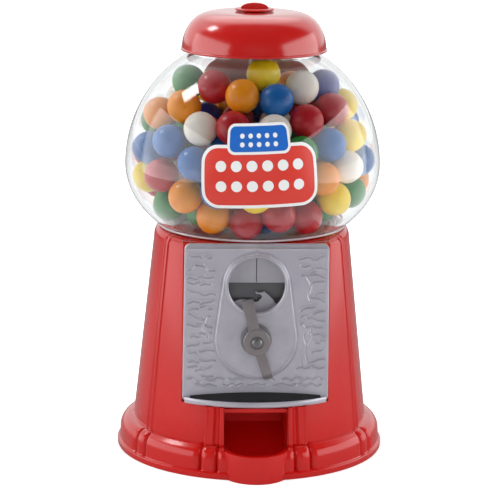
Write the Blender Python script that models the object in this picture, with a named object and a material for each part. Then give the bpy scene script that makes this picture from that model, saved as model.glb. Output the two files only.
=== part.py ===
"""Counter-top gum vending machine: a clear globe on a moulded pedestal with a coin mechanism.

The machine stands on the floor plane with its tie rod on +Z and its front towards -Y.
Lengths are in metres. Sizes along the handle axis are given as depths: the distance that a
face lies in front of the tie rod, so that a depth of d is the plane y = -d.
"""

import math

import bmesh
import bpy
import numpy as np
from mathutils import Matrix, Vector

# Clearances that every seat, bore and running fit is worked out from
GAP = 0.0003
BORE_GAP = 0.0003
OVERRUN = 0.004
MERGE = 0.00001

# Stack of heights from the sill under the plate up to the pedestal's top
PLATE_LOW = 0.0334
HANDLE_RISE = 0.0304
HANDLE_HEIGHT = PLATE_LOW + HANDLE_RISE
GEAR_MODULE = 0.0017
PINION_TEETH = 8
IDLER_TEETH = 10
CROWN_TEETH = 40
CROWN_DROP = 0.0010
DECK_FLOOR = HANDLE_HEIGHT + GEAR_MODULE * (PINION_TEETH + 2 * IDLER_TEETH) / 2 + CROWN_DROP
DECK_DEPTH = 0.0204
BASE_HEIGHT = DECK_FLOOR + DECK_DEPTH

# Pedestal
LIP_HEIGHT = 0.003
LIP_EDGE = 0.0004
FOOT_RADIUS = 0.0635
LIP_REACH = 0.0012
LIP_RADIUS = FOOT_RADIUS + LIP_REACH
FOOT_DRAFT = 0.0002
FOOT_ROUND = 0.0060
FOOT_TOP = 0.0145
FOOT_BLEND = 0.002
FOOT_REACH = 0.0069
BODY_FOOT_RADIUS = FOOT_RADIUS - FOOT_REACH
BODY_SHOULDER_RADIUS = 0.0472
SHOULDER_DROP = 0.005
SHOULDER_INSET = 0.003
BASE_WALL = 0.0024
FOOT_WALL = 0.0036
DECK_WALL_TOP = 0.0037
TIER_RISE = 0.0012
PANEL_RISE = 0.0024
RIB_RISE = 0.0040
STRIP_RISE = 0.0036
FOOT_NOTCH = 0.0026

# Payout cup and the throat behind it
CUP_INSET = 0.0085
CUP_CENTRE = FOOT_RADIUS - CUP_INSET
CUP_RADIUS = 0.0152
CUP_DRAFT = 0.0004
CUP_WALL = 0.0023
CUP_HEIGHT = 0.013
CUP_FLOOR = 0.0024
THROAT_HALF = 0.0149
THROAT_WALL = 0.0023
THROAT_DEPTH = 0.0055
THROAT_BACK = CUP_CENTRE - THROAT_DEPTH
THROAT_REACH = 0.0045

# Plate seat
PLATE_HIGH = BASE_HEIGHT
PLATE_BACK = 0.0446
PLATE_THICK = 0.0019
HOUSING_HALF = 0.0255
PLATE_MARGIN = 0.00885
PLATE_HALF_LOW = HOUSING_HALF + PLATE_MARGIN
PLATE_TAPER = 0.00075
PLATE_HALF_HIGH = PLATE_HALF_LOW - PLATE_TAPER
PLATE_CORNER = 0.0026
PLATE_BORDER = 0.0024
BORDER_RISE = 0.0004
SEAT_WALL = 0.0024
SEAT_BACK = 0.0316
SILL_THICK = 0.0022
SILL_RADIUS = 0.0545
OPENING_MARGIN = 0.0004
OPENING_HALF = HOUSING_HALF + OPENING_MARGIN

# Handle axis, coin window and the raised panel of the plate
WINDOW_RISE = 0.0255
WINDOW_HEIGHT = HANDLE_HEIGHT + WINDOW_RISE
WINDOW_RADIUS = 0.0132
WINDOW_BEAD = 0.0016
BEAD_RISE = 0.0012
BEAD_EDGE = 0.0005
PANEL_LOW_RADIUS = 0.0191
PANEL_TOP_RADIUS = 0.0156
PLATE_PANEL_RISE = 0.0006
VISOR_RADIUS = 0.0590
VISOR_HEIGHT = 0.0030
VISOR_BEAD = 0.0017
VISOR_DISH = 0.0013

# Base floor, coin plug and their screws
FLOOR_THICK = 0.0024
ROD_BOSS_RADIUS = 0.0065
ROD_BOSS_HEIGHT = 0.010
ROD_SEAT = 0.0037
PLUG_PLACE = 0.027
PLUG_RADIUS = 0.0145
PLUG_FLANGE_RADIUS = 0.0176
PLUG_FLANGE_THICK = 0.0012
PLUG_HEIGHT = 0.0046
PLUG_DISH_RADIUS = 0.0085
PLUG_DISH_DEPTH = 0.0006
POST_INSET = 0.0095
POST_RING = FOOT_RADIUS - POST_INSET
POST_RADIUS = 0.0034
POST_TOP = 0.020
FLOOR_SCREW_HEAD = 0.0026
FLOOR_SCREW_LENGTH = 0.0100
SCREW_SHANK = 0.0012
SCREW_HEAD_THICK = 0.0012
SCREW_RECESS = 0.0003

# Tie rod
ROD_RADIUS = 0.0024
ROD_COLLAR_RADIUS = 0.0050
ROD_COLLAR_THICK = 0.0017
NUT_RADIUS = 0.0052
NUT_THICK = 0.0033

# Hopper deck, dispensing wheel and ball guard
WELL_RADIUS = 0.0374
WELL_WALL = 0.0012
DECK_FLANGE = 0.0013
DECK_FLANGE_THICK = 0.0014
DECK_FLOOR_THICK = 0.0018
CHANNEL_DEPTH = 0.0029
CHANNEL_FLOOR = DECK_FLOOR - CHANNEL_DEPTH
CHANNEL_INNER = 0.0313
GUARD_LEDGE = 0.0009
GUARD_LEDGE_DEPTH = 0.0022
GUARD_THICK = 0.0012
GUARD_HUB = 0.007
GUARD_HALF_ANGLE = math.radians(31)
WHEEL_RADIUS = 0.0368
WHEEL_RISE = 0.0173
WHEEL_TOP = DECK_FLOOR + WHEEL_RISE
POCKET_COUNT = 5
POCKET_RING = 0.0205
POCKET_RADIUS = 0.00875
POCKET_LEAD = 0.0008
HUB_RECESS = 0.0055

# Gear train from the handle shaft to the wheel
ADDENDUM_SHARE = 0.85
DEDENDUM_SHARE = 1.25
TIP_HALF_SHARE = 0.34
ROOT_HALF_SHARE = 1.0
CROWN_ROOT_HALF_SHARE = 0.86
CROWN_ROOT_SHARE = 1.12
GEAR_BACK = 0.0324
GEAR_WIDTH = 0.0036
CROWN_LAP = 0.0002
CROWN_EMBED = 0.001

# Ball chute
TUBE_RADIUS = 0.0089
TUBE_WALL = 0.0015
TUNNEL_WALL = 0.0018
TUNNEL_DROP = 0.0030
TUNNEL_TOP = PLATE_LOW - TUNNEL_DROP
TUNNEL_BACK = 0.0089
TUNNEL_FLOOR_FRONT = 0.0044
TUNNEL_FLOOR_BACK = 0.0133
TUNNEL_FOOT = 0.009

# Coin mechanism behind the plate, as depths
HOUSING_WALL = 0.0015
HOUSING_DROP = 0.0233
HOUSING_LOW = HANDLE_HEIGHT - HOUSING_DROP
OPENING_DROP = 0.0008
OPENING_LOW = HOUSING_LOW - OPENING_DROP
HOUSING_STEP_RISE = 0.0197
HOUSING_STEP = HANDLE_HEIGHT + HOUSING_STEP_RISE
HOUSING_INSET = 0.0040
HOUSING_TOP = BASE_HEIGHT - HOUSING_INSET
HOUSING_REAR = 0.0363
HOUSING_REAR_THICK = 0.0016
HOUSING_UPPER = 0.0389
HOUSING_UPPER_THICK = 0.0010
HOUSING_CORNER = 0.003
BOSS_RADIUS = 0.0025
BOSS_INSET = 0.0043
BOSS_SIDE = HOUSING_HALF - BOSS_INSET
BOSS_INSET_LOW = 0.0045
BOSS_LOW = HOUSING_LOW + BOSS_INSET_LOW
BOSS_INSET_HIGH = 0.0055
BOSS_HIGH = HOUSING_TOP - BOSS_INSET_HIGH
HOUSING_SCREW_HEAD = 0.0024
HOUSING_SCREW_SHANK = 0.0011
HOUSING_SCREW_REACH = 0.0045
PLATE_SCREW_MARGIN = 0.0031
PLATE_SCREW_SIDE = HOUSING_HALF + PLATE_SCREW_MARGIN
PLATE_SCREW_INSET_LOW = 0.0038
PLATE_SCREW_LOW = PLATE_LOW + PLATE_SCREW_INSET_LOW
PLATE_SCREW_INSET_HIGH = 0.0085
PLATE_SCREW_HIGH = PLATE_HIGH - PLATE_SCREW_INSET_HIGH
PLATE_BOSS_RADIUS = 0.0021
PLATE_SCREW_HEAD = 0.0025
PLATE_SCREW_REACH = 0.0022
GUIDE_RISE = 0.0009
GUIDE_LOW = WINDOW_HEIGHT + GUIDE_RISE
GUIDE_HALF = 0.0180
GUIDE_THICK = 0.0015
GUIDE_CORNER = 0.004
GUIDE_SEAM = 0.0004
GUIDE_SEAM_DEPTH = 0.0003
COIN_WHEEL_REAR = 0.0402
COIN_WHEEL_THICK = 0.0022
COIN_WHEEL_RADIUS = 0.0221
RATCHET_REAR = 0.0384
RATCHET_THICK = 0.0014
RATCHET_TIP = 0.0110
RATCHET_ROOT = 0.0090
RATCHET_TEETH = 12
SHAFT_RADIUS = 0.0027
SHAFT_END_RADIUS = 0.0015
SHAFT_END_LENGTH = 0.0010
CLIP_RADIUS = 0.0042
CLIP_THICK = 0.0008
IDLER_PIN_RADIUS = 0.0014
IDLER_PIN_HEAD = 0.0027
IDLER_PIN_HEAD_THICK = 0.0009
IDLER_PIN_END = 0.0317

# Coin dog, its pin and its leaf spring
DOG_SIDE = 0.0169
DOG_RISE = 0.0004
DOG_EYE = 0.0027
DOG_PIN_RADIUS = 0.0012
DOG_PIN_HEAD = 0.0022
DOG_NOSE_ANGLE = math.radians(-48)
DOG_NOSE_LIFT = 0.0008
LEAF_THICK = 0.0004
LEAF_TOP = 0.0160

# Handle, its collar and rivet
COLLAR_RADIUS = 0.0068
COLLAR_THICK = 0.0031
HUB_RADIUS = 0.0061
HUB_THICK = 0.0042
HUB_EDGE = 0.0006
ARM_THICK = 0.0024
ARM_HALF_WIDE = 0.0027
ARM_HALF_NARROW = 0.0021
UPPER_ARM_LENGTH = 0.0206
UPPER_ARM_ANGLE = math.radians(-12.9)
LOWER_ARM_LENGTH = 0.0182
LOWER_ARM_ANGLE = math.radians(162.4)
ARM_RAISE = 0.0014
ARM_EDGE = 0.0005
RIVET_HEAD = 0.00265
RIVET_DOME = 0.0017
RIVET_SHANK = 0.0014
RIVET_REACH = 0.0026

# Globe
GLOBE_RADIUS = 0.0612
GLOBE_RISE = 0.0300
GLOBE_EQUATOR = BASE_HEIGHT + GLOBE_RISE
GLOBE_LOWER = 0.0426
GLOBE_UPPER = 0.0615
GLOBE_WALL = 0.0020
GLOBE_FOOT_RADIUS = 0.0427
GLOBE_FOOT_WALL = 0.0025
GLOBE_FOOT_HEIGHT = 0.0020
NECK_RADIUS = 0.0310
NECK_RISE = 0.0605
NECK_TOP = GLOBE_EQUATOR + NECK_RISE

# Gumballs
BALL_RADIUS = 0.00785
HEAP_GAP = 0.0004
HEAP_SINK = 0.0010
HEAP_CENTRE = GLOBE_EQUATOR - HEAP_SINK
HEAP_CREST = 0.0355
HEAP_FLAT = 0.0285
HEAP_SLOPE_SHARE = 0.5
HEAP_CREASE_SHARE = 1.5
HEAP_TOUCH = 0.0003
HEAP_FREE = 0.0001
LOOSE_BALLS = 120
LOOSE_SEED = 11
LOOSE_CORE_SHARE = 0.04
LOOSE_REACH_SHARE = 0.72
LOOSE_DEPTH = 0.0210
LOOSE_RISE = 0.0350
LOOSE_FALL = 0.00012
SETTLE_STEPS = 300
SETTLE_FALL_SHARE = 0.7
SETTLE_PUSHES = 3
PUSH_SHARE = 0.8
RETURN_SHARE = 0.02

# Lid and its knob
LID_LAP = 0.0061
LID_RIM_LOW = NECK_TOP - LID_LAP
LID_RIM_RADIUS = 0.0350
LID_RIM_BEAD = 0.0012
LID_WALL_RADIUS = 0.0343
LID_HEIGHT = 0.0186
LID_TOP = LID_RIM_LOW + LID_HEIGHT
ROD_DROP = 0.0025
ROD_TOP = LID_TOP - ROD_DROP
LID_WALL = 0.0021
LID_SKIRT_INNER = 0.0314
LID_LEDGE_RADIUS = 0.0284
KNOB_FLANGE = 0.0093
KNOB_FLANGE_THICK = 0.0011
KNOB_BOSS = 0.0048
KNOB_BOSS_LENGTH = 0.0095
KNOB_FIN_HALF = 0.0066
KNOB_FIN_THICK = 0.0030
KNOB_HEIGHT = 0.0040
KNOB_TOP = LID_TOP + KNOB_HEIGHT
KNOB_EDGE = 0.0004

# Facets
ROUND_STEPS = 40
SMALL_STEPS = 16
TINY_STEPS = 12
SCREW_STEPS = 8
POCKET_STEPS = 18
TUBE_STEPS = 20
CUP_STEPS = 32
HEAP_COLUMNS = 76
HEAP_ROWS = 38

# Sections of the pedestal from the front round to the side: the angle and rise on the body,
# then the angle and rise at the foot, where the tiers swell into rounded pads
FRONT_SECTION = (
    (0.0, STRIP_RISE, 0.0, 0.0),
    (8.5, STRIP_RISE, 8.2, 0.0),
    (16.8, STRIP_RISE, 16.2, 0.0),
    (17.6, PANEL_RISE, 17.1, -FOOT_NOTCH),
    (19.0, PANEL_RISE, 17.9, -FOOT_NOTCH),
    (19.8, RIB_RISE, 18.8, 0.0),
    (23.6, RIB_RISE, 24.0, 0.0),
    (24.5, PANEL_RISE, 24.9, -FOOT_NOTCH),
    (25.4, PANEL_RISE, 25.9, 0.0),
    (31.5, PANEL_RISE, 31.5, 0.0),
    (37.6, PANEL_RISE, 37.6, 0.0),
    (43.7, PANEL_RISE, 43.7, 0.0),
    (49.8, PANEL_RISE, 49.8, 0.0),
    (56.0, PANEL_RISE, 54.8, 0.0),
    (57.2, TIER_RISE, 55.9, -FOOT_NOTCH),
    (58.4, TIER_RISE, 57.0, 0.0),
    (61.2, TIER_RISE, 61.8, 0.0),
    (62.2, 0.0, 62.9, -FOOT_NOTCH),
    (63.4, 0.0, 64.0, 0.0),
    (70.0, 0.0, 70.0, 0.0),
    (76.7, 0.0, 76.7, 0.0),
    (83.3, 0.0, 83.3, 0.0),
    (90.0, 0.0, 90.0, 0.0),
)
BACK_SECTION = (0.0, 8.5, 17.0)
BACK_SECTION_FIRST = 8

# Edge of the coin wheel: degrees clockwise from the top, and shares of the wheel's radius
COIN_EDGE_SHARES = (
    (-52, 0.84), (-40, 0.87), (-31, 0.89), (-23, 0.878), (-16, 0.83), (-10, 0.80),
    (-4, 0.79), (-3, 0.757), (0, 0.745), (4, 0.765), (7, 0.82), (8.5, 0.87),
    (6.5, 0.91), (2.5, 0.93), (0.5, 0.915), (-1.5, 0.99), (3, 0.958), (7, 0.965),
    (10, 1.0), (15, 0.953), (22, 0.895), (31, 0.84),
)
COIN_BACK_SHARE = 0.82
COIN_BACK_STEP = 12

# Gumballs that lie against the glass in front: degrees from the front towards +X, then the
# share of the way from the globe's widest level up (or down, below zero) to its pole
BALL_SHARES = (
    (-74.6, 0.78), (-37.0, 0.779), (7.8, 0.886), (-11.7, 0.722), (13.0, 0.677),
    (40.4, 0.773), (72.0, 0.722), (84.0, 0.576), (57.0, 0.566), (30.8, 0.488),
    (-80.8, 0.482), (-54.0, 0.593), (-34.4, 0.437), (-55.0, 0.291), (-78.6, 0.172),
    (-35.1, 0.135), (-58.8, -0.04), (-42.0, -0.287), (-64.5, -0.504), (-27.3, -0.572),
    (-21.5, -0.155), (-15.0, 0.46), (-5.9, -0.597), (-1.4, -0.198), (13.2, -0.498),
    (33.8, -0.572), (48.0, -0.349), (72.0, -0.34), (35.0, -0.003), (54.6, 0.068),
    (42.5, 0.293), (64.4, 0.332), (78.0, 0.059), (-86.0, -0.185), (88.0, -0.247),
    (19.0, -0.037), (5.0, 0.195), (-10.5, 0.176), (9.0, 0.439), (23.0, 0.254),
)

# Lid profile as shares of its wall radius and of its height above the rim bead
LID_CURVE_SHARES = (
    (0.985, 0.20), (0.962, 0.42), (0.925, 0.60), (0.872, 0.745), (0.80, 0.855),
    (0.70, 0.935), (0.56, 0.98), (0.36, 1.0),
)


def clear_scene():
    """Remove whatever the file opened with."""
    for thing in list(bpy.data.objects):
        bpy.data.objects.remove(thing, do_unlink=True)


def finish(name, colour, roughness, metallic=0.0, transmission=0.0):
    """Principled material with one colour."""
    material = bpy.data.materials.new(name)
    material.use_nodes = True
    shader = material.node_tree.nodes["Principled BSDF"]
    shader.inputs["Base Color"].default_value = (*colour, 1.0)
    shader.inputs["Roughness"].default_value = roughness
    shader.inputs["Metallic"].default_value = metallic
    shader.inputs["Transmission Weight"].default_value = transmission
    return material


def add(name, shape, material, origin=(0, 0, 0), parent=None, sharp=math.radians(35)):
    """Named object from a mesh drawn in place, with its origin moved to a point of its own."""
    bmesh.ops.translate(shape, verts=shape.verts, vec=-Vector(origin))
    mesh = bpy.data.meshes.new(name)
    shape.to_mesh(mesh)
    shape.free()
    mesh.shade_smooth()
    mesh.set_sharp_from_angle(angle=sharp)
    thing = bpy.data.objects.new(name, mesh)
    thing.data.materials.append(material)
    bpy.context.scene.collection.objects.link(thing)
    thing.location = Vector(origin)
    if parent is not None:
        thing.parent = parent
        thing.location = Vector(origin) - parent.location
    return thing


def shape_with(target, operation, tools):
    """Boolean modifiers that cut each tool from a piece, or join it on."""
    for tool in tools:
        number = len(target.modifiers) + 1
        mesh = bpy.data.meshes.new(f"{target.name}_tool_{number}")
        tool.to_mesh(mesh)
        tool.free()
        guide = bpy.data.objects.new(f"{target.name}_tool_{number}", mesh)
        guide.hide_render = True
        guide.display_type = "WIRE"
        bpy.context.scene.collection.objects.link(guide)
        modifier = target.modifiers.new(f"{operation.lower()}_{number}", "BOOLEAN")
        modifier.operation = operation
        modifier.solver = "EXACT"
        modifier.object = guide


def cut(target, *tools):
    """Take each tool out of the piece."""
    shape_with(target, "DIFFERENCE", tools)


def join(target, *tools):
    """Join each tool to the piece."""
    shape_with(target, "UNION", tools)


def together(shapes):
    """One tool from several shapes that stand clear of each other."""
    whole = bmesh.new()
    for shape in shapes:
        mesh = bpy.data.meshes.new("piece")
        shape.to_mesh(mesh)
        shape.free()
        whole.from_mesh(mesh)
        bpy.data.meshes.remove(mesh)
    return whole


def turned(profile, steps=ROUND_STEPS):
    """Solid of revolution about Z; a profile that starts and ends on the axis stays open there."""
    shape = bmesh.new()
    points = [shape.verts.new((radius, 0, height)) for radius, height in profile]
    pairs = list(zip(points, points[1:]))
    if profile[0][0] > 0 or profile[-1][0] > 0:
        pairs.append((points[-1], points[0]))
    edges = [shape.edges.new(pair) for pair in pairs]
    bmesh.ops.spin(
        shape, geom=points + edges, cent=(0, 0, 0), axis=(0, 0, 1), dvec=(0, 0, 0),
        angle=2 * math.pi, steps=steps, use_merge=True, use_duplicate=False,
    )
    bmesh.ops.remove_doubles(shape, verts=shape.verts, dist=MERGE)
    bmesh.ops.recalc_face_normals(shape, faces=shape.faces)
    return shape


def prism(outline, low, high):
    """Flat outline in XY drawn up from one height to another."""
    shape = bmesh.new()
    face = shape.faces.new([shape.verts.new((x, y, low)) for x, y in outline])
    drawn = bmesh.ops.extrude_face_region(shape, geom=[face])
    moved = [item for item in drawn["geom"] if isinstance(item, bmesh.types.BMVert)]
    bmesh.ops.translate(shape, verts=moved, vec=(0, 0, high - low))
    bmesh.ops.recalc_face_normals(shape, faces=shape.faces)
    return shape


def loft(rings):
    """Closed skin over a stack of rings of equal count; a ring of one point is a pole."""
    shape = bmesh.new()
    rows = [[shape.verts.new(point) for point in ring] for ring in rings]
    for lower, upper in zip(rows, rows[1:]):
        count = max(len(lower), len(upper))
        for i in range(count):
            j = (i + 1) % count
            if len(lower) == 1:
                shape.faces.new((lower[0], upper[j], upper[i]))
            elif len(upper) == 1:
                shape.faces.new((lower[i], lower[j], upper[0]))
            else:
                shape.faces.new((lower[i], lower[j], upper[j], upper[i]))
    for row in (rows[0], rows[-1]):
        if len(row) > 1:
            shape.faces.new(row)
    bmesh.ops.recalc_face_normals(shape, faces=shape.faces)
    return shape


def block(low, high):
    """Box between two corners."""
    outline = ((low[0], low[1]), (high[0], low[1]), (high[0], high[1]), (low[0], high[1]))
    return prism(outline, low[2], high[2])


def turned_at(x, y, profile, steps=ROUND_STEPS):
    """Solid of revolution about an upright line through a place."""
    shape = turned(profile, steps)
    bmesh.ops.translate(shape, verts=shape.verts, vec=(x, y, 0))
    return shape


def cylinder(x, y, radius, low, high, steps=SMALL_STEPS):
    """Upright cylinder."""
    return turned_at(x, y, ((0, low), (radius, low), (radius, high), (0, high)), steps)


def to_front(shape, side=0, height=0):
    """Lay a shape drawn about Z along the depth axis, at a place on the front."""
    bmesh.ops.rotate(shape, verts=shape.verts, cent=(0, 0, 0),
                     matrix=Matrix.Rotation(math.pi / 2, 3, "X"))
    bmesh.ops.translate(shape, verts=shape.verts, vec=(side, 0, height))
    return shape


def front_cylinder(side, height, radius, rear, front, steps=SMALL_STEPS):
    """Cylinder along the depth axis, from a rear depth to a front depth."""
    return to_front(cylinder(0, 0, radius, rear, front, steps), side, height)


def front_block(half, low, high, rear, front):
    """Box centred on the machine, given by its half width, heights and depths."""
    return block((-half, -front, low), (half, -rear, high))


def arc(centre, radius, start, end, steps):
    """Points on a circular arc, both ends included; angles run from +X towards +Y."""
    return [
        (centre[0] + radius * math.cos(start + (end - start) * i / steps),
         centre[1] + radius * math.sin(start + (end - start) * i / steps))
        for i in range(steps + 1)
    ]


def rounded_outline(half_low, half_high, low, high, corner, steps=4):
    """Upright trapezoid with round corners, anticlockwise from the lower right."""
    quarter = math.pi / 2
    return (
        arc((half_low - corner, low + corner), corner, -quarter, 0, steps)
        + arc((half_high - corner, high - corner), corner, 0, quarter, steps)
        + arc((corner - half_high, high - corner), corner, quarter, 2 * quarter, steps)
        + arc((corner - half_low, low + corner), corner, 2 * quarter, 3 * quarter, steps)
    )


def clockwise(angle, radius, side=0, height=0):
    """Point on the front at an angle clockwise from the top."""
    return (side + radius * math.sin(angle), height + radius * math.cos(angle))


def body_radius(height):
    """Radius of the drafted wall between the foot and the shoulder."""
    low = FOOT_TOP + FOOT_BLEND
    high = BASE_HEIGHT - SHOULDER_DROP
    share = (height - low) / (high - low)
    return BODY_FOOT_RADIUS + (BODY_SHOULDER_RADIUS - BODY_FOOT_RADIUS) * share


def pedestal_ring(height, radius, tiers, foot):
    """One section of the pedestal; foot blends from the tiered body to the padded foot."""
    quarter = []
    for body_angle, body_rise, foot_angle, foot_rise in FRONT_SECTION:
        angle = math.radians(body_angle + (foot_angle - body_angle) * foot)
        rise = tiers * (body_rise * (1 - foot) + foot_rise * foot)
        quarter.append((angle, rise))
    panel = quarter[BACK_SECTION_FIRST][1]
    plain = [(math.radians(angle), panel) for angle in BACK_SECTION] + quarter[BACK_SECTION_FIRST:]
    half = quarter + [(math.pi - angle, rise) for angle, rise in reversed(plain[:-1])]
    sections = half + [(-angle, rise) for angle, rise in reversed(half[1:-1])]
    return [
        ((radius + rise) * math.sin(angle), -(radius + rise) * math.cos(angle), height)
        for angle, rise in sections
    ]


def pedestal_outside():
    """Outer skin of the pedestal: lip, padded foot, drafted tiered wall and round shoulder."""
    arc_centre = FOOT_TOP - FOOT_ROUND
    arc_radius = FOOT_RADIUS - FOOT_DRAFT - FOOT_ROUND
    rings = [
        pedestal_ring(0, LIP_RADIUS, 0, 0),
        pedestal_ring(LIP_HEIGHT - LIP_EDGE, LIP_RADIUS, 0, 0),
        pedestal_ring(LIP_HEIGHT, LIP_RADIUS - LIP_EDGE, 0, 0),
        pedestal_ring(LIP_HEIGHT + LIP_EDGE, FOOT_RADIUS, 1, 1),
    ]
    for degrees in (0, 30, 60):
        angle = math.radians(degrees)
        height = arc_centre + FOOT_ROUND * math.sin(angle)
        rings.append(pedestal_ring(height, arc_radius + FOOT_ROUND * math.cos(angle), 1, 1))
    rings.append(pedestal_ring(FOOT_TOP, arc_radius, 1, 0.5))
    shoulder = BASE_HEIGHT - SHOULDER_DROP
    middle = (FOOT_TOP + shoulder) / 2
    for height in (FOOT_TOP + FOOT_BLEND, middle, shoulder):
        rings.append(pedestal_ring(height, body_radius(height), 1, 0))
    for degrees in (35, 65, 90):
        angle = math.radians(degrees)
        inset = SHOULDER_INSET * (1 - math.cos(angle))
        height = shoulder + SHOULDER_DROP * math.sin(angle)
        tiers = 0.5 + 0.5 * math.cos(angle)
        rings.append(pedestal_ring(height, BODY_SHOULDER_RADIUS - inset, tiers, 0))
    return loft(rings)


def pedestal_cavity():
    """Inside of the pedestal: a plain turned space, open at the floor."""
    foot = FOOT_RADIUS - FOOT_WALL
    inner_round = foot - (FOOT_RADIUS - FOOT_DRAFT - FOOT_ROUND)
    start = FOOT_TOP - FOOT_ROUND
    ledge = start + inner_round
    corner = math.pi / 4
    top = BASE_HEIGHT - DECK_WALL_TOP
    return turned((
        (0, -OVERRUN),
        (foot, -OVERRUN),
        (foot, start),
        (foot - inner_round * (1 - math.cos(corner)), start + inner_round * math.sin(corner)),
        (foot - inner_round, ledge),
        (body_radius(ledge) - BASE_WALL, ledge),
        (body_radius(top) - BASE_WALL, top),
        (0, top),
    ))


def seat_half():
    """Half width of the seat that the plate lies on."""
    return PLATE_HALF_LOW + GAP


def plate_seat():
    """Box-shaped seat that carries the plate and stands proud of the drafted wall at the top."""
    half = seat_half()
    outer = front_block(half, PLATE_LOW - GAP - SILL_THICK, BASE_HEIGHT - GAP, SEAT_BACK, PLATE_BACK - GAP)
    return outer


def sill():
    """Shelf under the plate's visor, with a round front edge inside the wall."""
    half = seat_half() - SEAT_WALL / 2
    edge = math.asin(half / SILL_RADIUS)
    curve = arc((0, 0), SILL_RADIUS, -math.pi / 2 - edge, -math.pi / 2 + edge, 12)
    back = PLATE_BACK - GAP - SEAT_WALL
    outline = curve + [(half, -back), (-half, -back)]
    return prism(outline, PLATE_LOW - GAP - SILL_THICK, PLATE_LOW - GAP)


def cup_ring(radius, height):
    """Half-round outline of the cup's front, closed behind its centre."""
    back = THROAT_REACH / 2 - CUP_CENTRE
    curve = arc((0, -CUP_CENTRE), radius, math.pi, 2 * math.pi, CUP_STEPS // 2)
    return [(x, y, height) for x, y in [(-radius, back)] + curve + [(radius, back)]]


def screw_ring():
    """Places of the floor screws."""
    quarter = math.pi / 2
    return [
        (POST_RING * math.cos(quarter * (i + 0.5)), POST_RING * math.sin(quarter * (i + 0.5)))
        for i in range(4)
    ]


def build_base_shell(red):
    """Moulded pedestal with plate seat, payout cup and throat, screw posts and globe seat."""
    inner_half = seat_half() - SEAT_WALL - GAP * 2
    front = LIP_RADIUS + CUP_RADIUS
    seat_front = PLATE_BACK - GAP
    seat_rear = seat_front - SEAT_WALL
    sill_top = PLATE_LOW - GAP
    ceiling = BASE_HEIGHT - DECK_WALL_TOP
    shell = add("base_shell", pedestal_outside(), red)
    cut(shell, pedestal_cavity())
    cut(shell, front_block(inner_half, sill_top, ceiling, SEAT_BACK, front))
    join(shell, plate_seat())
    cut(shell, front_block(inner_half, sill_top, ceiling, SEAT_BACK - OVERRUN, seat_rear))
    join(shell, sill())
    throat = THROAT_HALF + THROAT_WALL
    foot_reach = CUP_CENTRE + THROAT_REACH
    join(shell, front_block(throat, 0, FOOT_TOP - GAP, THROAT_BACK, foot_reach))
    join(shell, front_block(throat, FOOT_TOP - BASE_WALL, sill_top, THROAT_BACK, THROAT_BACK + THROAT_REACH))
    join(shell, loft((cup_ring(CUP_RADIUS + CUP_DRAFT, 0), cup_ring(CUP_RADIUS, CUP_HEIGHT))))
    cup_inner = CUP_RADIUS - CUP_WALL
    cut(shell, front_block(THROAT_HALF, CUP_HEIGHT, sill_top + GAP, THROAT_BACK - OVERRUN, front))
    cut(shell, front_block(cup_inner, CUP_FLOOR, CUP_HEIGHT + GAP, THROAT_BACK - OVERRUN, CUP_CENTRE))
    cut(shell, cylinder(0, -CUP_CENTRE, cup_inner, CUP_FLOOR, CUP_HEIGHT + OVERRUN, CUP_STEPS))
    cut(shell, front_block(seat_half(), sill_top, BASE_HEIGHT + OVERRUN, seat_front, front))
    cut(shell, front_block(OPENING_HALF, OPENING_LOW, ceiling, seat_rear - OVERRUN, seat_front + OVERRUN))
    bore = WELL_RADIUS + WELL_WALL + GAP
    recess = GLOBE_FOOT_RADIUS + GAP
    seat = globe_foot() - GAP
    above = BASE_HEIGHT + OVERRUN
    cut(shell, turned((
        (0, ceiling - OVERRUN), (bore, ceiling - OVERRUN), (bore, seat), (recess, seat), (recess, above), (0, above),
    )))
    join(shell, together([
        cylinder(x, y, POST_RADIUS, FLOOR_THICK + GAP, POST_TOP) for x, y in screw_ring()
    ]))
    hole_top = FLOOR_SCREW_LENGTH + GAP
    holes = [cylinder(x, y, SCREW_SHANK + BORE_GAP, -OVERRUN, hole_top, SCREW_STEPS) for x, y in screw_ring()]
    hole = PLATE_BOSS_RADIUS + BORE_GAP
    holes += [
        front_cylinder(side, height, hole, seat_rear - GAP, seat_front + OVERRUN)
        for side, height in plate_screw_places()
    ]
    cut(shell, together(holes))
    return shell


def globe_foot():
    """Height of the globe's lower edge in the pedestal's top."""
    return BASE_HEIGHT - SHOULDER_DROP / 5


def plate_screw_places():
    """Side and height of each screw that holds the plate to the pedestal."""
    return [
        (side, height)
        for height in (PLATE_SCREW_LOW, PLATE_SCREW_HIGH)
        for side in (-PLATE_SCREW_SIDE, PLATE_SCREW_SIDE)
    ]


def housing_screw_places():
    """Side, height and depth of the wall's rear face for each housing screw."""
    return [
        (side, height, rear)
        for height, rear in ((BOSS_LOW, HOUSING_REAR), (BOSS_HIGH, HOUSING_UPPER))
        for side in (-BOSS_SIDE, BOSS_SIDE)
    ]


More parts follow.
